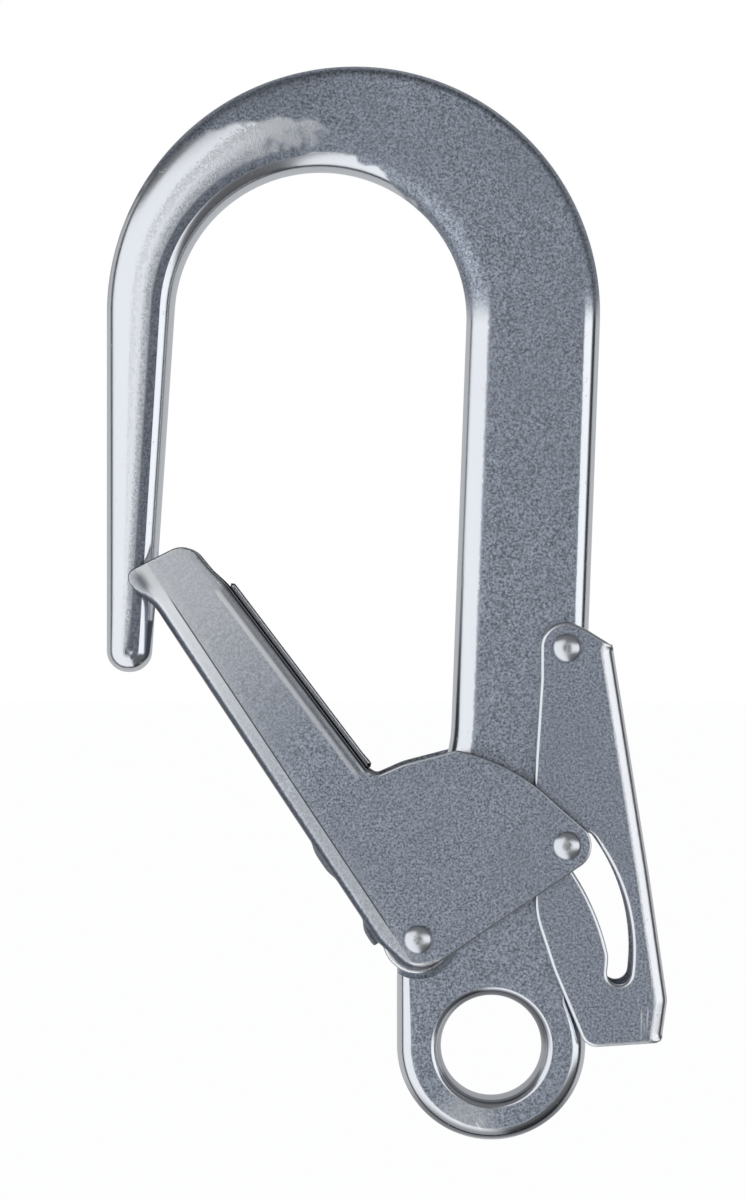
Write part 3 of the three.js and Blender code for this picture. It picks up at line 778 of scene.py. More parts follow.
# ---------------------------------------------------------------- springs, rivets and washers
@dataclass(frozen=True)
class Spring:
    """A torsion spring that stands in a ring-shaped pocket."""

    wire: float
    mean: float
    turns: float
    leg: float
    leg_angle: float
    inner_play: float
    outer_play: float
    headroom: float
    coil_gap: float = 0.15
    floor_gap: float = 0.15
    bulge: float = 0.12
    chamfer: float = 0.72

    @property
    def core(self) -> float:
        """Inner radius of the pocket."""
        return self.mean - self.wire / 2 - self.inner_play

    @property
    def rim(self) -> float:
        """Outer radius of the pocket."""
        return self.mean + self.wire / 2 + self.outer_play

    def floor(self, cheek_in: float) -> float:
        """Depth of the pocket's floor from the middle plane."""
        coil = self.turns * (self.wire + self.coil_gap) + self.wire
        return cheek_in - self.headroom - coil - self.floor_gap

    def build(
        self, name: str, pivot: np.ndarray, lean: float, cheek_in: float, side: int
    ) -> bpy.types.Object:
        """A round wire along a helix and a straight leg.

        Args:
            name: the piece's name.
            pivot: the coil's axis.
            lean: degrees that its part leans to the left.
            cheek_in: inside of the cheek over the coil.
            side: -1 in front and 1 behind.

        Returns:
            The spring.
        """
        last = math.radians(self.leg_angle + lean)
        turns = np.linspace(self.turns, 0, round(self.turns * 48) + 1)
        angle = last + turns * 2 * np.pi
        climb = (self.wire + self.coil_gap) * (self.turns - turns)
        start = self.floor(cheek_in) + self.floor_gap + self.wire / 2
        flat = pivot + self.mean * np.column_stack([np.cos(angle), np.sin(angle)])
        coil = place(flat, side * (start + climb))
        away = np.array([math.sin(last), 0, -math.cos(last)])
        path = np.vstack([coil, coil[-1] + away * np.linspace(0, self.leg, 12)[1:, None]])
        along = np.gradient(path, axis=0)
        along /= np.linalg.norm(along, axis=1)[:, None]
        beside = np.cross(along, [0.0, 1.0, 0.0])
        beside /= np.linalg.norm(beside, axis=1)[:, None]
        c, s = circle(20).T[..., None]
        section = beside[:, None] * c + np.cross(beside, along)[:, None] * s
        section *= self.wire / 2
        bulge = self.wire * self.bulge
        tips = path[0] - along[0] * bulge, path[-1] + along[-1] * bulge
        ends = [tip + section[k] * self.chamfer for k, tip in zip((0, -1), tips)]
        skin = Skin()
        ids = skin.add(np.concatenate([ends[:1], path[:, None] + section, ends[1:]]))
        skin.grid(ids, wrap=True)
        for ring, tip in zip((ids[0], ids[-1]), tips):
            skin.cap(ring, tip)
        return skin.show(name, 50.0)


GATE_SPRING = Spring(
    wire=1.3,
    mean=6.6,
    turns=2.0,
    leg=19.0,
    leg_angle=165.0,
    inner_play=0.75,
    outer_play=1.15,
    headroom=0.35,
)
LEVER_SPRING = Spring(
    wire=0.8,
    mean=4.1,
    turns=1.5,
    leg=9.0,
    leg_angle=10.0,
    inner_play=0.4,
    outer_play=0.4,
    headroom=0.375,
)


def turned(name: str, centre: np.ndarray, profile: np.ndarray) -> bpy.types.Object:
    """A turned piece.

    Args:
        name: the piece's name.
        centre: x and z of its axis.
        profile: rows of radius and depth; a radius of 0 closes an end.

    Returns:
        The piece.
    """
    skin = Skin()
    ids = skin.add(place(centre + circle(72) * profile[:, :1, None], profile[:, 1:]))
    skin.grid(ids, wrap=True, close=bool(profile[0, 0] > 0))
    return skin.show(name)


@dataclass(frozen=True)
class Rivet:
    """A pin with a domed head outside each cheek and, on a pivot, a shoulder between them."""

    size: Dimensions
    spigot: float
    cheek_out: float
    shank: float = 0.0
    cheek_in: float = 0.0
    rim: float = 0.28

    def build(self, name: str, centre: np.ndarray) -> bpy.types.Object:
        """The rivet: each dome follows a quarter of an ellipse above a short upright rim."""
        d, rim = self.size, self.rim
        base = self.cheek_out + d.head_gap
        turn = np.radians(np.linspace(0, 90, 22))
        across = d.head_radius * np.cos(turn) ** 0.92
        across[-1] = 0.0
        dome = np.column_stack([across, base + rim + (d.head_rise - rim) * np.sin(turn)])
        half = [[self.spigot, base], [d.head_radius - 0.12, base], [d.head_radius, base + 0.1]]
        if self.shank:
            step = self.cheek_in - d.head_gap
            half = [[self.shank, step], [self.spigot, step], *half]
        upper = np.vstack([half, dome])
        return turned(name, centre, np.vstack([upper[::-1] * [1, -1], upper]))


def washer(name: str, size: Dimensions, side: int) -> bpy.types.Object:
    """A flat washer with eased edges between the body and a cheek of the gate."""
    play, ease = 0.1, 0.2
    near, far = size.body_half + play, size.gate_in - play
    inner, outer = size.gate_hole, size.washer_rim
    across = [inner, inner + ease, outer - ease, outer]
    depth = [near + ease, near, near, near + ease]
    depth += [far - ease, far, far, far - ease]
    profile = np.column_stack([across + across[::-1], depth])
    return turned(name, size.gate_pivot, profile * [1, side])


# ---------------------------------------------------------------- folded sheet
EDGE_RINGS = (0.12, 0.28, 0.5, 0.75)
FINE_REACH = 0.8
LATTICE = 0.9


@dataclass(frozen=True)
class Margin:
    """How a cheek's surface falls away near a line of its edge.

    The fall is a quarter ellipse, reach wide and fall deep, after a flat facet that slopes over
    a further width.
    """

    reach: float
    fall: float
    facet: float = 0.0
    slope: float = 0.0

    def drop(self, distance: np.ndarray) -> np.ndarray:
        """Depth below the cheek's plane at a distance from the edge."""
        near = np.clip((self.reach - distance) / self.reach, 0, 1)
        fallen = self.fall * (1 - np.sqrt(1 - near**2))
        return fallen + self.slope * np.clip(self.facet - distance, 0, None)


@dataclass
class Channel:
    """Two cheeks and the web that joins them, folded from one sheet.

    Attributes:
        outline: the cheek's outline, anticlockwise, in the part's own frame.
        web: first and last row of the outline along which the cheek folds into the web.
        holes: outlines of the cheek's holes.
        sheet: thickness of the sheet.
        out: outside of a cheek at points of its plane.
        swell: how far the web stands out, from its length along and its depth.
        fold: the margin along the fold.
        fold_line: the line that the fold follows.
        fold_weight: share of the fold's margin at each point of its line.
        cut: the margin at cut edges.
        roll: the margin along a rolled edge.
        roll_line: that edge's line.
    """

    outline: np.ndarray
    web: tuple[int, int]
    holes: list[np.ndarray]
    sheet: float
    out: Callable[[np.ndarray], np.ndarray]
    swell: Callable[[np.ndarray, np.ndarray], np.ndarray]
    fold: Margin
    fold_line: np.ndarray
    fold_weight: np.ndarray
    cut: Margin
    roll: Margin | None = None
    roll_line: np.ndarray | None = None

    def plan(self) -> tuple[np.ndarray, np.ndarray, list[np.ndarray]]:
        """Points of a cheek's plane, its triangles and the rows of each loop.

        The points run in rings beside each edge, in lines beside the fold and in a lattice.
        """
        loops = [self.outline, *self.holes]
        sets = []
        for loop in loops:
            way = 1 if loop is self.outline else -1
            for r in EDGE_RINGS:
                sets.append((r, loop + inward(loop) * r * way))
        reach = max(self.fold.reach, self.fold.facet)
        turn = 1 - np.cos(np.linspace(0.2, np.pi / 2, 9))
        for r in [*(turn * self.fold.reach), *np.linspace(self.fold.reach, reach + 0.5, 7)]:
            if r > FINE_REACH:
                sets.append((r, self.fold_line + inward(self.fold_line, False) * r))
        low, high = self.outline.min(axis=0), self.outline.max(axis=0)
        x, z = np.meshgrid(*(np.arange(a, b, LATTICE) for a, b in zip(low, high)))
        sets.append((LATTICE, np.column_stack([x.ravel(), z.ravel()])))
        points = np.vstack([line for _, line in sets])
        wish = np.concatenate([np.full(len(line), r) for r, line in sets])
        keep = within(loops, points)
        points, wish = points[keep], wish[keep]
        room = np.min([nearest(loop, points, True)[0] for loop in loops], axis=0)
        points = thinned(points[room > np.minimum(wish, FINE_REACH) - 0.03], 0.085)
        starts = np.cumsum([0, *(len(loop) for loop in loops)])
        rows = [np.arange(a, b) for a, b in zip(starts, starts[1:])]
        return np.vstack([*loops, points]), triangles(loops, points), rows

    def build(self, name: str, pivot: np.ndarray, lean: float) -> bpy.types.Object:
        """The folded part in its place.

        Args:
            name: the piece's name.
            pivot: the part's axis.
            lean: degrees that it leans to the left.

        Returns:
            The part.
        """
        plan, tri, rows = self.plan()
        first, last = self.web
        count = len(rows[0])
        web = np.arange(first, last + 1) % count
        runs = [np.roll(rows[0], -last)[: count - (last - first) + 1]]
        runs += [np.append(row, row[0]) for row in rows[1:]]
        distance, away, where = nearest(self.fold_line, plan, False)
        share = np.interp(where, np.arange(len(self.fold_weight)), self.fold_weight)
        free = np.min([nearest(plan[run], plan, False)[0] for run in runs], axis=0)
        rolled = 0.0
        if self.roll is not None:
            rolled = self.roll.drop(nearest(self.roll_line, plan, False)[0])
        from_web = eased(nearest(plan[web], plan, False)[0] / 1.2)
        fold = self.fold.drop(distance)
        inner = plan + away * (share * np.clip(self.sheet - distance, 0, None))[:, None]
        outer_y = self.out(plan) - fold * share - self.cut.drop(free) * from_web - rolled
        wall = np.clip(fold - self.fold.drop(np.array([self.sheet])), 0, None)
        inner_y = self.out(inner) - self.sheet - wall * share - 0.75 * rolled
        skin = Skin()
        faces = []
        for side in (-1, 1):
            outside = skin.add(place(plan, side * outer_y))
            inside = skin.add(place(inner, side * inner_y))
            skin.fan(outside[tri], flip=side > 0)
            skin.fan(inside[tri], flip=side < 0)
            faces.append((outside, inside))
            for run in runs:
                skin.grid(np.stack([outside[run], inside[run]]), flip=side > 0)
        self._join(skin, faces, web, (plan, inner), (outer_y, inner_y))
        x, y, z = np.vstack(skin.vertices).T
        skin.vertices = [place(pivot + rotated(np.column_stack([x, z]), lean), y)]
        return skin.show(name, 38.0)

    def _join(
        self,
        skin: Skin,
        faces: list[tuple[np.ndarray, np.ndarray]],
        web: np.ndarray,
        planes: tuple[np.ndarray, np.ndarray],
        depths: tuple[np.ndarray, np.ndarray],
    ) -> None:
        """Joins the cheeks by the web's outer and inner surfaces and closes its two ends.

        Args:
            skin: the part's skin.
            faces: vertex numbers outside and inside of the front cheek, then of the back one.
            web: rows of the plan along the web.
            planes: the plan of the outer and of the inner surface.
            depths: the outer and the inner surface's distance from the middle plane.
        """
        outward = -inward(planes[0][web], False)
        along = lengths(planes[0][web])
        sheets = []
        for k, (flat, depth) in enumerate(zip(planes, depths)):
            y = np.linspace(-1, 1, 29)[:, None] * depth[web]
            line = flat[web] + outward * self.swell(along, y)[..., None]
            middle = skin.add(place(line, y)[1:-1])
            sheets.append(np.vstack([faces[0][k][web][None], middle, faces[1][k][web][None]]))
            skin.grid(sheets[k], flip=k == 1)
        for end in (0, -1):
            skin.grid(np.stack([sheet[:, end] for sheet in sheets]), flip=end == 0)


@dataclass
class Gate:
    """The folded gate in its own frame: its axis is the origin and z runs up to the tip."""

    size: Dimensions

    @property
    def web_end(self) -> float:
        """Upper end of the web."""
        return self.size.gate_length - self.size.web_short

    @property
    def inner_edge(self) -> np.ndarray:
        """The arm's inner edge, from the plate up to where the tip begins."""
        d = self.size
        low = [d.cheek_root_width, d.plate_top + 2.9]
        return np.array([low, [d.cheek_tip_width, d.gate_length - 13.4]])

    def out(self, points: np.ndarray) -> np.ndarray:
        """Outside of a cheek: level beside the plate, then closing in to the tip."""
        d = self.size
        low, high = d.plate_top + 4, d.gate_length + 2
        tip = d.body_half + d.tip_gap + d.sheet
        share = np.clip((points[..., 1] - low) / (high - low), 0, 1)
        return d.gate_out + (tip - d.gate_out) * (np.sqrt(share**2 + 0.0009) - 0.03)

    def swell(self, along: np.ndarray, y: np.ndarray) -> np.ndarray:
        """How far the web stands out: two pressed beads, the lower one round the spring coil."""
        z = self.web_end - along
        half_width, half_length = 6.4, 3.9
        across = np.clip(1 - (y / half_width) ** 4, 0, 1)
        bead, flare = (
            rise * np.exp(-(((z - middle) / half_length) ** 4))
            for rise, middle in ((0.85, 24.0), (1.4, 5.0))
        )
        return (bead + flare * np.clip((z - 1.9) / 2.2, 0, 1)) * across

    def outline(self) -> tuple[np.ndarray, tuple[int, int]]:
        """The cheek's outline and the rows between which it folds into the web."""
        d = self.size
        length, web = d.gate_length, d.web_offset
        plate = d.pin_swing + d.plate_rim
        low, high = self.inner_edge
        rows = rounded(
            [
                Arc(ORIGIN, d.pivot_corner, 205, 268),
                Arc(d.gate_pin, d.pin_corner, 270, 365),
                Arc(ORIGIN, plate, 11, 41.5),
                Corner(*around(ORIGIN, plate, 44.5), 2.5),
                Corner(17.2, d.plate_top - 0.4, 14.0),
                Corner(d.cheek_root_width + 1, d.plate_top + 0.6, 1.5),
                Corner(*low),
                Corner(*high, 12.0),
                Corner(6.5, length - 9, 9.0),
                Corner(5.8, length - 1.7, 4.5),
                Corner(-8.8, length + 0.1, 2.0),
                Corner(-8.6, length - 4.2, 3.0),
                Corner(-7.15, length - 9.0, 10),
                Corner(-web, self.web_end - 6.5),
                Corner(-web, 4.0, 3),
            ]
        )[:, :2]
        even = evenly(rows, 0.5)
        x, z = even.T
        index = np.flatnonzero((x < -web + 0.5) & (z > 3.4) & (z < self.web_end))
        return even, (int(index[0]), int(index[-1]))

    def fold_rows(self, outline: np.ndarray) -> np.ndarray:
        """Rows of the outline beside which the cheek is bent: its left side, tip to foot."""
        x, z = outline.T
        left = (x < 2.5) & (z < self.size.gate_length - 2.4) & ((x < -4.5) | (z < 0))
        run = np.flatnonzero(left)
        gaps = np.flatnonzero(np.diff(run) > 1)
        return np.roll(run, -(gaps[-1] + 1)) if len(gaps) else run

    def build(self) -> bpy.types.Object:
        """The gate in its place."""
        d = self.size
        outline, web = self.outline()
        line = outline[self.fold_rows(outline)]
        along = lengths(line)
        tip_edge = [[7.1, d.gate_length - 9], [6.6, d.gate_length - 5]]
        channel = Channel(
            outline=outline,
            web=web,
            holes=[
                circle(60) * (d.spigot + d.running_fit),
                d.gate_pin + circle(60) * (d.pin_radius + d.running_fit),
            ],
            sheet=d.sheet,
            out=self.out,
            swell=self.swell,
            fold=Margin(reach=1.45, fall=2.3, facet=3.6, slope=0.06),
            fold_line=line,
            fold_weight=eased(along / 7.0) * eased((along[-1] - along) / 7.5),
            cut=Margin(reach=0.34, fall=0.24),
            roll=Margin(reach=1.9, fall=0.55),
            roll_line=np.vstack([self.inner_edge, tip_edge]),
        )
        return channel.build("gate_fine", d.gate_pivot, d.gate_lean)

    def hem(self) -> bpy.types.Object:
        """The rear cheek's stiffening lip: a rounded bar along the inner edge of the arm."""
        d = self.size
        width, height, beside, recess = 0.62, 0.72, 0.48, 0.78
        low, high = self.inner_edge - [[0, 0.7], [0, 0]]
        along = (high - low) / np.hypot(*(high - low))
        right = np.array([along[1], -along[0]])
        share = np.linspace(0, 1, 90)
        spine = low + (high - low) * share[:, None]
        length, tip, corner = 46, 0.55, 0.62
        far = np.minimum(share, 1 - share) * length
        swell = np.sqrt(np.clip(1 - np.clip(1 - far / tip, 0, 1) ** 2, 0.02, 1))
        foot = 1 + 0.22 * np.exp(-((share * length - 1.2) ** 2) / 1.6)
        c, s = (np.sign(v) * np.abs(v) ** corner for v in circle(40).T)
        across = width * c * (swell * foot)[:, None]
        ring = (spine + right * beside)[:, None] + right * across[..., None]
        depth = (self.out(spine) - recess)[:, None] + height * s * swell[:, None]
        world = place(d.gate_pivot + rotated(ring, d.gate_lean), depth)
        skin = Skin()
        ids = skin.add(world)
        skin.grid(ids, wrap=True)
        for row in (0, -1):
            skin.cap(ids[row], world[row].mean(axis=0))
        return skin.show("gate_hem", 60.0)


@dataclass
class Lever:
    """The folded lock lever in its own frame: its axis is the origin."""

    size: Dimensions

    def beside(self, rise: float) -> float:
        """A height above the gate's axis, in the lever's frame."""
        return rise - self.size.lever_rise

    def outline(self) -> tuple[np.ndarray, tuple[int, int]]:
        """The cheek's outline and the rows between which it folds into the web."""
        d = self.size
        foot = self.beside(-d.lever_foot)
        fold = [(19.3, foot), (20.6, foot + 9.2), (16.95, self.beside(12.5)), (9.45, 0.4)]
        rows = rounded(
            [
                Corner(-6.5, self.beside(5.1), 18),
                Corner(-2.7, self.beside(-6.5), 30),
                Corner(3.9, foot - 0.3, 3.5),
                Corner(19.4, foot + 0.7, 1.8),
                Corner(*fold[1], 4.5),
                Corner(*fold[2], 30),
                Corner(*fold[3], 1.2),
                Corner(3.9, 3.9, 3),
                Arc(ORIGIN, d.lever_corner, 80, 175),
                Corner(-d.lever_corner, -6.5, 20),
                Corner(-6.8, self.beside(29.9), 12),
            ]
        )[:, :2]
        even = evenly(rows, 0.5)
        x, z = even.T
        right = np.interp(z, [height for _, height in fold], [across for across, _ in fold])
        index = np.flatnonzero((x > right - 0.6) & (z < -0.4) & (z > foot + 1.9))
        return even, (int(index[0]), int(index[-1]))

    def slot(self) -> np.ndarray:
        """The slot: the pin's circle once the lever is squeezed, and the notch that holds it."""
        d = self.size
        reach = d.gate_lean + d.open_lean
        turn = d.lever_ratio * reach
        middle = rotated(d.gate_pivot - d.lever_pivot, turn)
        top = d.pin_angle + turn
        bottom = top - reach - d.slot_overrun
        half = d.pin_radius + d.slot_play
        swing = d.pin_swing
        track = [
            Arc(middle, swing + half, bottom, top).points(0.8),
            Arc(around(middle, swing, top), half, top, top + 180).points(6)[1:-1],
            Arc(middle, swing - half, top, bottom).points(0.8),
            Arc(around(middle, swing, bottom), half, bottom + 180, bottom + 360).points(6)[1:-1],
        ]
        room = d.pin_radius + d.pin_clearance
        path = np.array(
            [
                rotated(
                    around(d.gate_pivot, swing, d.pin_angle - a) - d.lever_pivot,
                    d.lever_ratio * a,
                )
                for a in np.linspace(0, reach, 24)
            ]
        )
        side = inward(path, False) * room
        ribbon = np.vstack([path - side, (path + side)[::-1]])
        x, z = ribbon.T
        if x @ np.roll(z, -1) < z @ np.roll(x, -1):
            ribbon = ribbon[::-1]
        hold = path[0] + room * circle(60)
        return evenly(union([np.vstack(track)[:, :2], ribbon, hold]), 0.5)

    def build(self) -> bpy.types.Object:
        """The lever in its place."""
        d = self.size
        outline, (first, last) = self.outline()
        line = outline[first : last + 1]
        channel = Channel(
            outline=outline,
            web=(first, last),
            holes=[circle(60) * (d.spigot + d.running_fit), self.slot()],
            sheet=d.sheet,
            out=lambda points: np.full(points.shape[:-1], d.lever_out),
            swell=lambda along, y: np.zeros(np.broadcast(along, y).shape),
            fold=Margin(reach=2.9, fall=2.4),
            fold_line=line,
            fold_weight=np.ones(len(line)),
            cut=Margin(reach=0.75, fall=0.42),
        )
        return channel.build("lock_lever_fine", d.lever_pivot, 0.0)


# ---------------------------------------------------------------- shader graphs
Input = "Value | bpy.types.NodeSocket | tuple[float, ...] | float"


@dataclass(frozen=True)
class Value:
    """A number in a shader graph; arithmetic on it adds nodes to the graph."""

    graph: Graph
    socket: bpy.types.NodeSocket

    def __add__(self, other: Value | float) -> Value:
        """The sum."""
        return self.graph.math("ADD", self, other)

    def __sub__(self, other: Value | float) -> Value:
        """The difference."""
        return self.graph.math("SUBTRACT", self, other)

    def __rsub__(self, other: float) -> Value:
        """The difference from a constant."""
        return self.graph.math("SUBTRACT", other, self)

    def __mul__(self, other: Value | float) -> Value:
        """The product."""
        return self.graph.math("MULTIPLY", self, other)

    def __pow__(self, other: float) -> Value:
        """The power."""
        return self.graph.math("POWER", self, other)

    def __abs__(self) -> Value:
        """The value without its sign."""
        return self.graph.math("ABSOLUTE", self)

    def most(self, other: Value | float) -> Value:
        """The greater of two."""
        return self.graph.math("MAXIMUM", self, other)

    def least(self, other: Value | float) -> Value:
        """The smaller of two."""
        return self.graph.math("MINIMUM", self, other)

    def clamped(self) -> Value:
        """The value held between 0 and 1."""
        return self.graph.math("ADD", self, 0.0, clamp=True)

    def ease(self, low: float, high: float) -> Value:
        """0 at low and 1 at high, with a smooth step between them."""
        g = self.graph
        step = g.node("ShaderNodeMapRange", interpolation_type="SMOOTHSTEP", clamp=True)
        g.fill(step, {"Value": self, "From Min": low, "From Max": high})
        return Value(g, step.outputs["Result"])

    def band(self, middle: float, half: float, soft: float) -> Value:
        """1 within a distance of a middle value, fading over a soft margin."""
        return abs(self - middle).ease(half + soft, half)


class Graph:
    """Short calls for building a node tree."""

    def __init__(self, tree: bpy.types.NodeTree) -> None:
        """Starts from an empty tree."""
        self.tree = tree
        tree.nodes.clear()

    def node(self, kind: str, **settings: object) -> bpy.types.Node:
        """A node with its settings."""
        made = self.tree.nodes.new(kind)
        for key, value in settings.items():
            setattr(made, key, value)
        return made

    def fill(self, node: bpy.types.Node, inputs: dict[str | int, Input]) -> bpy.types.Node:
        """Links sockets to a node's inputs, or sets their constants."""
        for key, value in inputs.items():
            value = value.socket if isinstance(value, Value) else value
            if isinstance(value, bpy.types.NodeSocket):
                self.tree.links.new(value, node.inputs[key])
            else:
                node.inputs[key].default_value = value
        return node

    def math(self, kind: str, *values: Input, clamp: bool = False) -> Value:
        """A Math node's result."""
        made = self.node("ShaderNodeMath", operation=kind, use_clamp=clamp)
        return Value(self, self.fill(made, dict(enumerate(values))).outputs[0])

    def vector(self, kind: str, *values: Input) -> bpy.types.Node:
        """A Vector Math node."""
        made = self.node("ShaderNodeVectorMath", operation=kind)
        return self.fill(made, dict(enumerate(values)))

    def measure(self, kind: str, *vectors: Input) -> Value:
        """A number that a Vector Math node finds."""
        return Value(self, self.vector(kind, *vectors).outputs[1])

    def split(self, vector: bpy.types.NodeSocket) -> list[Value]:
        """A vector's three numbers."""
        made = self.fill(self.node("ShaderNodeSeparateXYZ"), {0: vector})
        return [Value(self, socket) for socket in made.outputs]

    def combine(self, *values: Input) -> bpy.types.NodeSocket:
        """A vector of up to three numbers."""
        made = self.node("ShaderNodeCombineXYZ")
        return self.fill(made, dict(enumerate(values))).outputs[0]

    def noise(self, vector: Input, scale: float, detail: float, rough: float) -> Value:
        """A noise value from 0 to 1."""
        inputs = {"Vector": vector, "Scale": scale, "Detail": detail, "Roughness": rough}
        return Value(self, self.fill(self.node("ShaderNodeTexNoise"), inputs).outputs["Fac"])

    def mix(self, factor: Input, low: Input, high: Input) -> bpy.types.NodeSocket:
        """A mix of two colours."""
        made = self.node("ShaderNodeMix", data_type="RGBA", clamp_factor=True)
        return self.fill(made, {"Factor": factor, 6: low, 7: high}).outputs[2]

    def group(self, tree: bpy.types.NodeTree, **values: Input) -> dict[str, Value]:
        """The results of a group by name."""
        made = self.fill(self.node("ShaderNodeGroup", node_tree=tree), values)
        return {socket.name: Value(self, socket) for socket in made.outputs}

    def emit(self, kind: str, color: tuple, **inputs: Input) -> bpy.types.NodeSocket:
        """A light-giving shader of one colour."""
        return self.fill(self.node(kind), {"Color": color, **inputs}).outputs[0]

    def finish(
        self,
        kind: str,
        *shaders: bpy.types.NodeSocket,
        switch: bpy.types.NodeSocket | None = None,
    ) -> None:
        """Feeds the surface of an output node: one shader, or two with a switch between them."""
        shader = shaders[0]
        if switch is not None:
            both = self.node("ShaderNodeMixShader")
            shader = self.fill(both, {0: switch, 1: shader, 2: shaders[1]}).outputs[0]
        self.fill(self.node(kind), {"Surface": shader})


def new_group(
    name: str, inputs: dict[str, str], outputs: list[str]
) -> tuple[bpy.types.NodeTree, Graph, dict[str, bpy.types.NodeSocket], bpy.types.Node]:
    """An empty shader node group.

    Args:
        name: the group's name.
        inputs: socket types by input name.
        outputs: names of the outputs, which are numbers.

    Returns:
        The tree, its graph, its input sockets and its output node.
    """
    tree = bpy.data.node_groups.new(name, "ShaderNodeTree")
    for key, kind in inputs.items():
        tree.interface.new_socket(key, in_out="INPUT", socket_type=kind)
    for key in outputs:
        tree.interface.new_socket(key, in_out="OUTPUT", socket_type=FLOAT)
    graph = Graph(tree)
    source = graph.node("NodeGroupInput")
    sink = graph.node("NodeGroupOutput")
    return tree, graph, {key: source.outputs[key] for key in inputs}, sink


class Effects:
    """Shader node groups that several finishes share."""

    def __init__(self) -> None:
        """Builds the groups."""
        self.grain = self._grain()
        self.scratches = self._scratches()
        self.own_frame = self._own_frame()

    @staticmethod
    def _grain() -> bpy.types.NodeTree:
        """Fine tumbled grain: light and dark specks, sparse pits and slow cloudiness."""
        inputs = {"Position": VECTOR, "Size": FLOAT}
        tree, g, source, sink = new_group(
            "tumbled_grain", inputs, ["Tone", "Height", "Pits", "Cloud"]
        )
        scaled = g.vector("SCALE", source["Position"])
        g.fill(scaled, {"Scale": g.math("DIVIDE", 1.0, source["Size"])})
        point = scaled.outputs[0]
        both = g.noise(point, 0.37, 2.0, 0.55) * 0.45 + g.noise(point, 1.0, 3.0, 0.6) * 0.55
        results = {
            "Tone": both.ease(0.35, 0.65),
            "Height": both,
            "Pits": g.noise(point, 0.19, 1.0, 0.4).ease(0.745, 0.79),
            "Cloud": g.noise(point, 0.014, 3.0, 0.6),
        }
        g.fill(sink, results)
        return tree

    @staticmethod
    def _scratches() -> bpy.types.NodeTree:
        """Short parallel scratches along one direction of the x-z plane, in loose patches."""
        inputs = {"Position": VECTOR, "Along": VECTOR, "Across": VECTOR}
        tree, g, source, sink = new_group("scratches", inputs, ["Mask"])
        along = g.measure("DOT_PRODUCT", source["Position"], source["Along"])
        across = g.measure("DOT_PRODUCT", source["Position"], source["Across"])
        lines = g.noise(g.combine(along * 160.0, across * 2300.0), 1.0, 1.5, 0.5)
        patches = g.noise(source["Position"], 160.0, 2.0, 0.5)
        g.fill(sink, {"Mask": lines.ease(0.57, 0.66) * patches.ease(0.45, 0.62)})
        return tree

    @staticmethod
    def _own_frame() -> bpy.types.NodeTree:
        """Coordinates in a part's own leaning frame: across it and along it, in metres."""
        inputs = {"Position": VECTOR, "Pivot": VECTOR, "Right": VECTOR, "Up": VECTOR}
        tree, g, source, sink = new_group("own_frame", inputs, ["Across", "Along"])
        offset = g.vector("SUBTRACT", source["Position"], source["Pivot"]).outputs[0]
        for key, axis in (("Across", "Right"), ("Along", "Up")):
            g.fill(sink, {key: g.measure("DOT_PRODUCT", offset, source[axis])})
        return tree


# ---------------------------------------------------------------- finishes
@dataclass(frozen=True)
class Steel:
    """A steel finish.

    Attributes:
        name: the material's name.
        matt: colour of its matt places.
        bright: colour of its polished places.
        matt_roughness: how rough the matt places are.
        bright_roughness: how rough the polished places are.
        grain: size of the grain, in millimetres.
        relief: strength of the grain's relief.
    """

    name: str
    matt: tuple[float, float, float]
    bright: tuple[float, float, float]
    matt_roughness: float
    bright_roughness: float
    grain: float
    relief: float

    def shade(self, times: float) -> tuple[float, float, float, float]:
        """The matt colour made darker or lighter."""
        return tuple(min(1.0, c * times) for c in self.matt) + (1.0,)


FORGED = Steel(
    name="forged_tumbled",
    matt=(0.322, 0.353, 0.411),
    bright=(0.84, 0.86, 0.90),
    matt_roughness=0.42,
    bright_roughness=0.16,
    grain=0.19,
    relief=0.7,
)
GATE_SHEET = Steel(
    name="pressed_sheet_gate",
    matt=(0.314, 0.344, 0.402),
    bright=(0.86, 0.87, 0.90),
    matt_roughness=0.40,
    bright_roughness=0.2,
    grain=0.18,
    relief=0.65,
)
LEVER_SHEET = replace(GATE_SHEET, name="pressed_sheet_lever")
RIVETED = Steel(
    name="rivet_head",
    matt=(0.66, 0.69, 0.74),
    bright=(0.80, 0.82, 0.86),
    matt_roughness=0.3,
    bright_roughness=0.25,
    grain=0.3,
    relief=0.3,
)
SPRUNG = Steel(
    name="spring_wire",
    matt=(0.62, 0.64, 0.68),
    bright=(0.88, 0.89, 0.92),
    matt_roughness=0.3,
    bright_roughness=0.18,
    grain=0.4,
    relief=0.15,
)
# Colour of worn places and of painted highlights.
WEAR_AND_HIGHLIGHT = (0.93, 0.94, 0.96, 1.0)
# Colour that the painted shade is mixed towards.
PAINTED_SHADE = (0.09, 0.10, 0.12, 1.0)
MATT_FACING = (0.991, 0.9995)


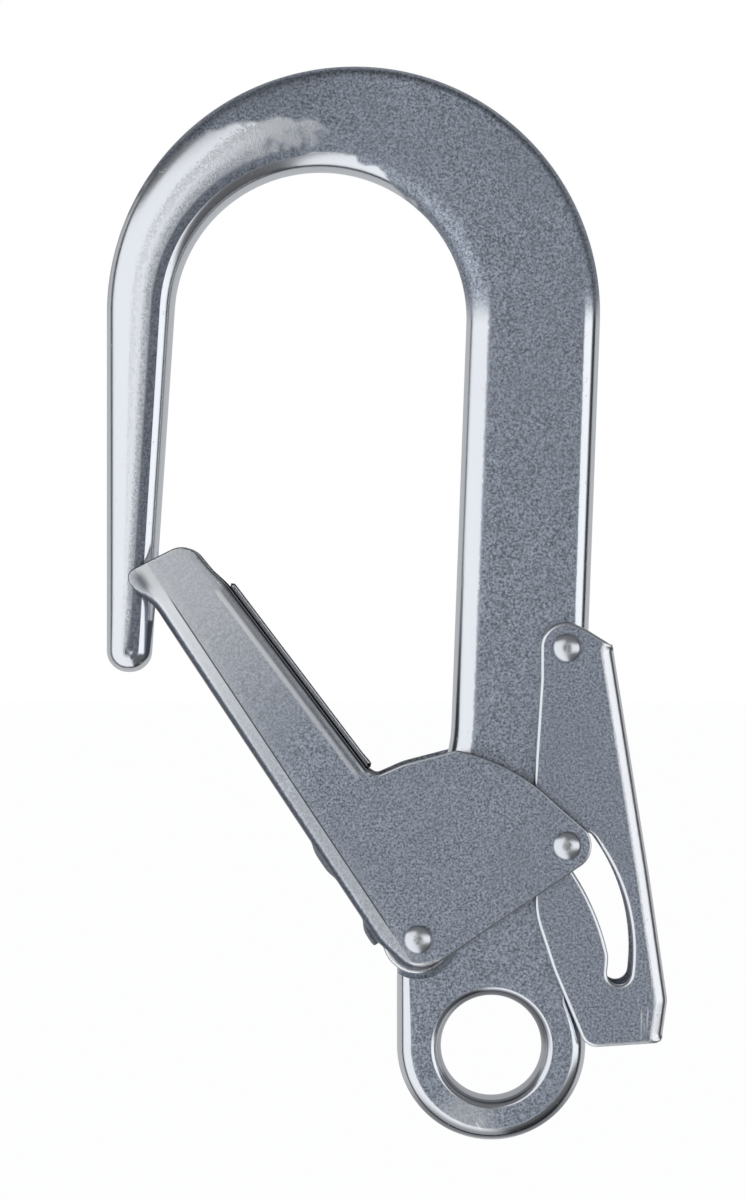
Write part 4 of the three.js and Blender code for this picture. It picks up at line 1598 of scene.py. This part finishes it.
class SteelMaterial:
    """A procedural steel on object coordinates, to which a part adds its own marks.

    Its coordinates and distances are in millimetres. The matt mask covers the flat faces and
    leaves the roundings polished; lighter is the mask of worn places and painted highlights,
    darker the mask of painted shade.
    """

    def __init__(self, steel: Steel, effects: Effects) -> None:
        """Starts the material with the grain's masks and no marks."""
        self.steel, self.effects = steel, effects
        self.material = bpy.data.materials.new(steel.name)
        self.material.use_nodes = True
        g = self.g = Graph(self.material.node_tree)
        source = g.node("ShaderNodeTexCoord").outputs
        self.position = source["Object"]
        self.x, self.y, self.z = (value * (1 / MM) for value in g.split(self.position))
        self.nx, ny, self.nz = g.split(source["Normal"])
        self.facing = abs(ny)
        grain = g.group(effects.grain, Position=self.position, Size=steel.grain * MM)
        self.tone, self.cloud, self.pits = grain["Tone"], grain["Cloud"], grain["Pits"]
        self.wander = self.tone * 0.011 + self.facing
        self.matt = self.wander.ease(*MATT_FACING)
        self.relief = grain["Height"] * self.matt - self.pits * 0.6
        # darker is the mask of painted shade; lighter is that of wear and painted highlights.
        self.darker: Value | float = 0.0
        self.lighter: Value | float = 0.0

    def scratches(self, degrees: float) -> Value:
        """A mask of scratches that run at an angle in the x-z plane."""
        (x, z), (u, w) = (around(ORIGIN, 1, angle) for angle in (degrees, degrees + 90))
        axes = {"Along": (x, 0.0, z), "Across": (u, 0.0, w)}
        return self.g.group(self.effects.scratches, Position=self.position, **axes)["Mask"]

    def distance(self, x: float, y: float, z: float) -> Value:
        """Distance from a point."""
        point = (x * MM, y * MM, z * MM)
        return self.g.measure("DISTANCE", self.position, point) * (1 / MM)

    def own_frame(self, pivot: np.ndarray, lean: float) -> tuple[Value, Value]:
        """Coordinates across and along a part that leans to the left."""
        (x, z), (u, w) = (around(ORIGIN, 1, angle) for angle in (lean, lean + 90))
        axes = {"Right": (x, 0.0, z), "Up": (u, 0.0, w)}
        start = (pivot[0] * MM, 0.0, pivot[1] * MM)
        tree = self.effects.own_frame
        frame = self.g.group(tree, Position=self.position, Pivot=start, **axes)
        return frame["Across"] * (1 / MM), frame["Along"] * (1 / MM)

    def finish(self) -> bpy.types.Material:
        """Joins colour, roughness and relief to the surface."""
        g, steel = self.g, self.steel
        speckled = g.mix(self.tone, steel.shade(0.38), steel.shade(1.95))
        clouded = g.mix(self.cloud.ease(0.35, 0.7) * 0.3, speckled, steel.shade(1.0))
        pitted = g.mix(self.pits * 0.35, clouded, steel.shade(0.42))
        base = g.mix(self.matt, (*steel.bright, 1.0), pitted)
        # The lighter mask mixes in real wear and painted highlights.
        lit = g.mix(self.lighter, base, WEAR_AND_HIGHLIGHT)
        span = steel.matt_roughness - steel.bright_roughness
        rough = self.cloud * 0.08 + (self.matt * span + steel.bright_roughness)
        bump = g.node("ShaderNodeBump")
        relief = {"Strength": steel.relief, "Distance": 0.05 * MM, "Height": self.relief}
        inputs = {
            "Metallic": 1.0,
            # Painted shade: the darker mask mixes the colour towards near black.
            "Base Color": g.mix(self.darker, lit, PAINTED_SHADE),
            "Roughness": (rough + self.lighter * -0.12).clamped(),
            "Normal": g.fill(bump, relief).outputs["Normal"],
        }
        surface = g.fill(g.node("ShaderNodeBsdfPrincipled"), inputs)
        g.finish("ShaderNodeOutputMaterial", surface.outputs[0])
        return self.material


class Finishes:
    """The materials of the hook's parts."""

    def __init__(self, size: Dimensions) -> None:
        """Builds every material."""
        self.size = size
        self.effects = Effects()
        self.forged = self._forged()
        self.gate = self._gate()
        self.lever = self._lever()
        self.rivet = self._small(RIVETED)
        self.spring = self._small(SPRUNG)

    def _forged(self) -> bpy.types.Material:
        """Tumbled faces, polished roundings, a worn crown with painted shade on the nose arm's
        crest, painted shade in the eye and under it, and scratches below the eye.
        """
        steel = SteelMaterial(FORGED, self.effects)
        z, nz = steel.z, steel.nz
        below_eye = z.ease(-184, -193)
        marks = steel.scratches(125)
        patch = steel.distance(29.8, -5, -193.9).ease(8.5, 2)
        steel.lighter = (patch * (marks * 1.3 + 0.4) + marks * below_eye * 0.3).clamped()
        ragged = steel.cloud * 30 + steel.x
        arm = ragged.ease(22, 10)
        dents = steel.g.noise(steel.position, 420.0, 2.0, 0.6) - 0.5
        beaten = dents * steel.x.band(2, 12, 8) * 0.022
        shift = steel.nx.ease(-0.01, 0.05) * 0.038 - 0.0078
        calm = arm * steel.tone * -0.007 + beaten
        polished = (arm * shift + (steel.wander + calm)).ease(*MATT_FACING)
        steel.matt = polished.most(self._outer_zone(steel, ragged))
        # Painted shade on the matt crest of the nose arm, from the arch downwards.
        crest = arm * steel.matt * 0.55 * z.ease(12, -4)
        # spent: painted shade on the downward-facing surfaces below the eye.
        spent = nz.ease(-0.12, -0.5) * below_eye * nz.ease(-0.97, -0.8)
        # darker is painted shade only: the crest, the undersides below the eye and the eye itself.
        steel.darker = (spent * 0.72 + (crest + self._bore_shade(steel))).clamped()
        return steel.finish()

    def _bore_shade(self, steel: SteelMaterial) -> Value:
        """Shade in the eye: its wall, a crescent at its upper right and a line at its foot."""
        x, z = self.size.eye
        from_eye = steel.distance(x, 0, z)
        ring = from_eye.ease(13.1, 12.8)
        slant = 0.35
        level = steel.x * slant + steel.z
        middle = z + slant * x
        crescent = level.ease(middle + 2, middle + 9) * ring
        foot = steel.facing.band(0.52, 0.1, 0.1) * ring * steel.nz.ease(0.3, 0.5)
        wall = from_eye.ease(12.2, 11.6)
        return (crescent * 0.7 + (foot * 0.5 + wall * 0.4)).least(0.85)

    def _outer_zone(self, steel: SteelMaterial, ragged: Value) -> Value:
        """Matt part of the arch's outer left: its width grows as a power of x to the top."""
        g, d = steel.g, self.size
        flat = g.combine(steel.x, 0.0, steel.z)
        radius = g.measure("DISTANCE", flat, (d.arch[0], 0.0, d.arch[1]))
        depth = d.arch_radius - radius
        share = (ragged + 28.0) * (1 / 42.4)
        zone = (share.most(0.0) ** 1.7 * 13.0 - depth).ease(-0.7, 0.7)
        return zone * steel.z.ease(-32, -24)

    def _gate(self) -> bpy.types.Material:
        """Sheet with painted shade along a pressed crease, painted highlights beside the fold, an
        arm painted brighter towards its tip, and painted highlights and shade along the rolled
        edge, the hem, the rims, the web and the tip.
        """
        steel = SteelMaterial(GATE_SHEET, self.effects)
        across, along = steel.own_frame(self.size.gate_pivot, self.size.gate_lean)
        cheek, web = steel.facing.ease(0.9, 0.99), steel.facing.ease(0.5, 0.2)
        steel.matt = steel.matt.most(web.most(across.ease(-3.6, -4.2)))
        # Painted shade along the pressed crease.
        crease = across.band(-3.55, 0.09, 0.1) * along.band(45, 37.5, 5)
        # Painted highlights beside the fold and by the crease, and the arm painted brighter towards
        # its tip.
        margin = across.band(-4.9, 1.2, 0.2)
        halo = across.band(-3.0, 0.3, 1.6)
        pale = (along.ease(36, 94) * 0.6 + margin * 0.4 + halo * 0.08) * cheek
        # Painted shade on the tip's left lobe and on faces that turn partly sideways.
        tip = across.band(-6.4, 0.1, 1.6) * along.band(91.5, 0.6, 2.6)
        rim = steel.facing.band(0.66, 0.17, 0.14)
        past = along * 0.0596 + across
        behind = steel.y.ease(1, 3)
        front = (1.0 - behind) * along.band(58, 22.5, 2)
        # A painted highlight and then painted shade beside the front cheek's rolled edge.
        roll_highlight = past.band(10.18, 0.2, 0.6) * front
        shade = past.band(11.52, 0.7, 0.5) * front
        # Bands along the rear hem: strip, glow and streak are painted highlights; gap, seam and
        # specks are painted shade, the specks broken up by the grain.
        gap, strip, streak, seam, glow, specks = (
            past.band(middle, half, soft) * behind
            for middle, half, soft in (
                (12.22, 0.12, 0.1),
                (12.60, 0.22, 0.1),
                (12.88, 0.08, 0.12),
                (13.02, 0.06, 0.06),
                (13.10, 0.6, 0.1),
                (13.45, 0.28, 0.1),
            )
        )
        hem_highlight = strip * 0.4 + glow * 0.85 + streak * 0.8
        hem_shade = specks * steel.tone.ease(0.75, 0.35) * 0.5 + seam * 0.5 + gap
        # Real scratches, and the painted highlight beside the rolled edge.
        marks = steel.scratches(38) * 0.1 + roll_highlight * 0.6
        steel.lighter = (pale + marks + hem_highlight).clamped()
        # Painted shade: the crease, the band beside the rolled edge, the hem, the tip's lobe, the
        # rims and the web.
        lines = crease * 0.95 + shade * 0.42 + hem_shade * 0.85
        steel.darker = (lines + tip * 0.7 + rim * 0.7 + web * 0.5).clamped()
        return steel.finish()

    def _lever(self) -> bpy.types.Material:
        """Sheet with drawing marks down the foot of its fold."""
        steel = SteelMaterial(LEVER_SHEET, self.effects)
        across, along = steel.own_frame(self.size.lever_pivot, 0.0)
        fold = steel.nx.ease(0.10, 0.035) * steel.matt
        steel.matt = fold.most(steel.facing.ease(0.4, 0.15) * 0.2)
        foot = along.ease(-60, -70) * across.ease(12, 15)
        steel.lighter = steel.scratches(88) * foot * 0.7
        return steel.finish()

    def _small(self, finish: Steel) -> bpy.types.Material:
        """Plain small steel with light scratches and painted shade on faces that turn sideways."""
        steel = SteelMaterial(finish, self.effects)
        steel.lighter = steel.scratches(70) * 0.2
        # Painted shade on faces that turn sideways, a dark ring round each head.
        steel.darker = steel.facing.ease(0.5, 0.1) * 0.6
        return steel.finish()


# ---------------------------------------------------------------- studio
@dataclass(frozen=True)
class Studio:
    """White surroundings: a wide light on the left, a slim one on the right and a pale floor.

    Attributes:
        distance: distance of the camera from the middle plane, in metres like all that follows
            but the sensor.
        aim: x and z that the camera looks at.
        height: height of the middle plane that the camera shows.
        sensor: the camera's sensor, in millimetres.
        floor: height of the floor.
        floor_reach: half the floor's side.
    """

    distance: float = 0.74
    aim: tuple[float, float] = (0.010978, -0.087723)
    height: float = 0.24624
    sensor: float = 36.0
    floor: float = -0.222
    floor_reach: float = 4.0

    def camera(self) -> None:
        """A level camera that looks along +Y."""
        data = bpy.data.cameras.new("camera")
        data.sensor_width = self.sensor
        data.lens = self.sensor * self.distance / self.height
        data.clip_start, data.clip_end = 0.01, 20
        obj = linked("camera", data)
        obj.location = (self.aim[0], -self.distance, self.aim[1])
        obj.rotation_euler = (math.pi / 2, 0, 0)
        bpy.context.scene.camera = obj

    def world(self) -> None:
        """The light from each direction, and plain white behind the hook."""
        world = bpy.data.worlds.new("studio")
        world.use_nodes = True
        bpy.context.scene.world = world
        g = Graph(world.node_tree)
        x, y, z = g.split(g.node("ShaderNodeTexCoord").outputs["Generated"])
        front = y * -1.0
        lean = z.least(0.0) * -0.25 - x
        left = lean.ease(0.045, 0.12) * z.ease(0.54, 0.47) * front.ease(-0.03, 0.03)
        right = x.ease(0.16, 0.29) * z.band(0.0, 0.21, 0.1) * front.ease(0.22, 0.32)
        behind, facing = front.ease(-0.21, -0.29), front.ease(0.0, 0.3)
        total = left * 0.86 + right + behind * 0.5 + facing * 0.09
        total = total + z.ease(0.35, 0.6) * 0.05 + 0.025
        shade = g.emit("ShaderNodeBackground", (0.965, 0.98, 1.0, 1.0), Strength=total)
        white = g.emit("ShaderNodeBackground", (1.0, 1.0, 1.0, 1.0))
        seen = g.node("ShaderNodeLightPath").outputs["Is Camera Ray"]
        g.finish("ShaderNodeOutputWorld", shade, white, switch=seen)

    def ground(self) -> None:
        """A plain pale floor below the hook, which only the camera sees, and from above."""
        mesh = bpy.data.meshes.new("floor")
        corners = ((-1, -1), (1, -1), (1, 1), (-1, 1))
        reach = self.floor_reach
        points = [(x * reach, y * reach, self.floor) for x, y in corners]
        mesh.from_pydata(points, [], [(0, 1, 2, 3)])
        obj = linked("floor", mesh)
        obj.visible_glossy = obj.visible_diffuse = obj.visible_shadow = False
        material = bpy.data.materials.new("floor")
        material.use_nodes = True
        g = Graph(material.node_tree)
        glow = g.emit("ShaderNodeEmission", (0.985, 0.987, 0.99, 1.0))
        clear = g.node("ShaderNodeBsdfTransparent").outputs[0]
        back = g.node("ShaderNodeNewGeometry").outputs["Backfacing"]
        g.finish("ShaderNodeOutputMaterial", glow, clear, switch=back)
        mesh.materials.append(material)

    def build(self) -> None:
        """Sets up camera, light and floor."""
        self.camera()
        self.world()
        self.ground()
        bpy.context.scene.view_settings.view_transform = "Standard"


# ---------------------------------------------------------------- assembly
@dataclass(frozen=True)
class Piece:
    """A finished piece: what it rides on, which node it stands for and what it is made of."""

    obj: bpy.types.Object
    body: Body
    slot: Slot
    material: bpy.types.Material
    stands_for: str | None = None

    def settle(self) -> None:
        """Gives the piece its material and body, and hides the node that it stands for."""
        self.obj.data.materials.clear()
        self.obj.data.materials.append(self.material)
        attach(self.obj, self.body.value)
        if self.stands_for:
            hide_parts(self.stands_for)


def build_pieces(size: Dimensions, finishes: Finishes) -> list[Piece]:
    """Builds every piece of the hook."""
    pivot, lever_pivot = size.gate_pivot, size.lever_pivot
    root, swing, squeeze = Body.ROOT, Body.GATE, Body.LEVER
    gate = Gate(size)
    gate_rivet = Rivet(size, size.spigot, size.gate_out, size.gate_shank, size.gate_in)
    lever_rivet = Rivet(size, size.spigot, size.lever_out, size.lever_shank, size.lever_in)
    pin = Rivet(size, size.pin_radius, size.gate_out)
    riveted = (
        (gate_rivet, "gate_rivet_fine", pivot, root, "gate_pivot_rivet"),
        (lever_rivet, "lever_rivet_fine", lever_pivot, root, "lever_pivot_rivet"),
        (pin, "lock_pin_fine", size.lock_point, swing, "lock_pin"),
    )
    pieces = [
        Piece(HookBody(size).build(), root, Slot.FORGED, finishes.forged, "hook_body"),
        Piece(gate.build(), swing, Slot.SHEET, finishes.gate, "gate"),
        Piece(gate.hem(), swing, Slot.SHEET, finishes.gate),
        Piece(Lever(size).build(), squeeze, Slot.SHEET, finishes.lever, "lock_lever"),
    ]
    for rivet, name, centre, body, node in riveted:
        head = rivet.build(name, centre)
        pieces.append(Piece(head, body, Slot.RIVET, finishes.rivet, node))
    coil = LEVER_SPRING.build("lever_spring_fine", lever_pivot, 0.0, size.lever_in, 1)
    pieces.append(Piece(coil, squeeze, Slot.SPRING, finishes.spring, "lever_spring"))
    for side, word in ((-1, "front"), (1, "back")):
        spring, flat = f"gate_spring_{word}", f"gate_washer_{word}"
        coil = GATE_SPRING.build(f"{spring}_fine", pivot, size.gate_lean, size.gate_in, side)
        disc = washer(f"{flat}_fine", size, side)
        pieces.append(Piece(coil, swing, Slot.SPRING, finishes.spring, spring))
        pieces.append(Piece(disc, root, Slot.RIVET, finishes.rivet, flat))
    return pieces


def main() -> None:
    """Builds the scene."""
    logging.basicConfig(level=logging.INFO)
    for obj in list(bpy.data.objects):
        bpy.data.objects.remove(obj)
    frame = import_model()
    LOG.info("%d CAD nodes", len(frame["nodes"]))
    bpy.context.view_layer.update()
    size = Dimensions()
    for piece in build_pieces(size, Finishes(size)):
        piece.settle()
        LOG.info("%s: %d faces", piece.obj.name, len(piece.obj.data.polygons))
    Studio().build()


if __name__ == "__main__":
    main()
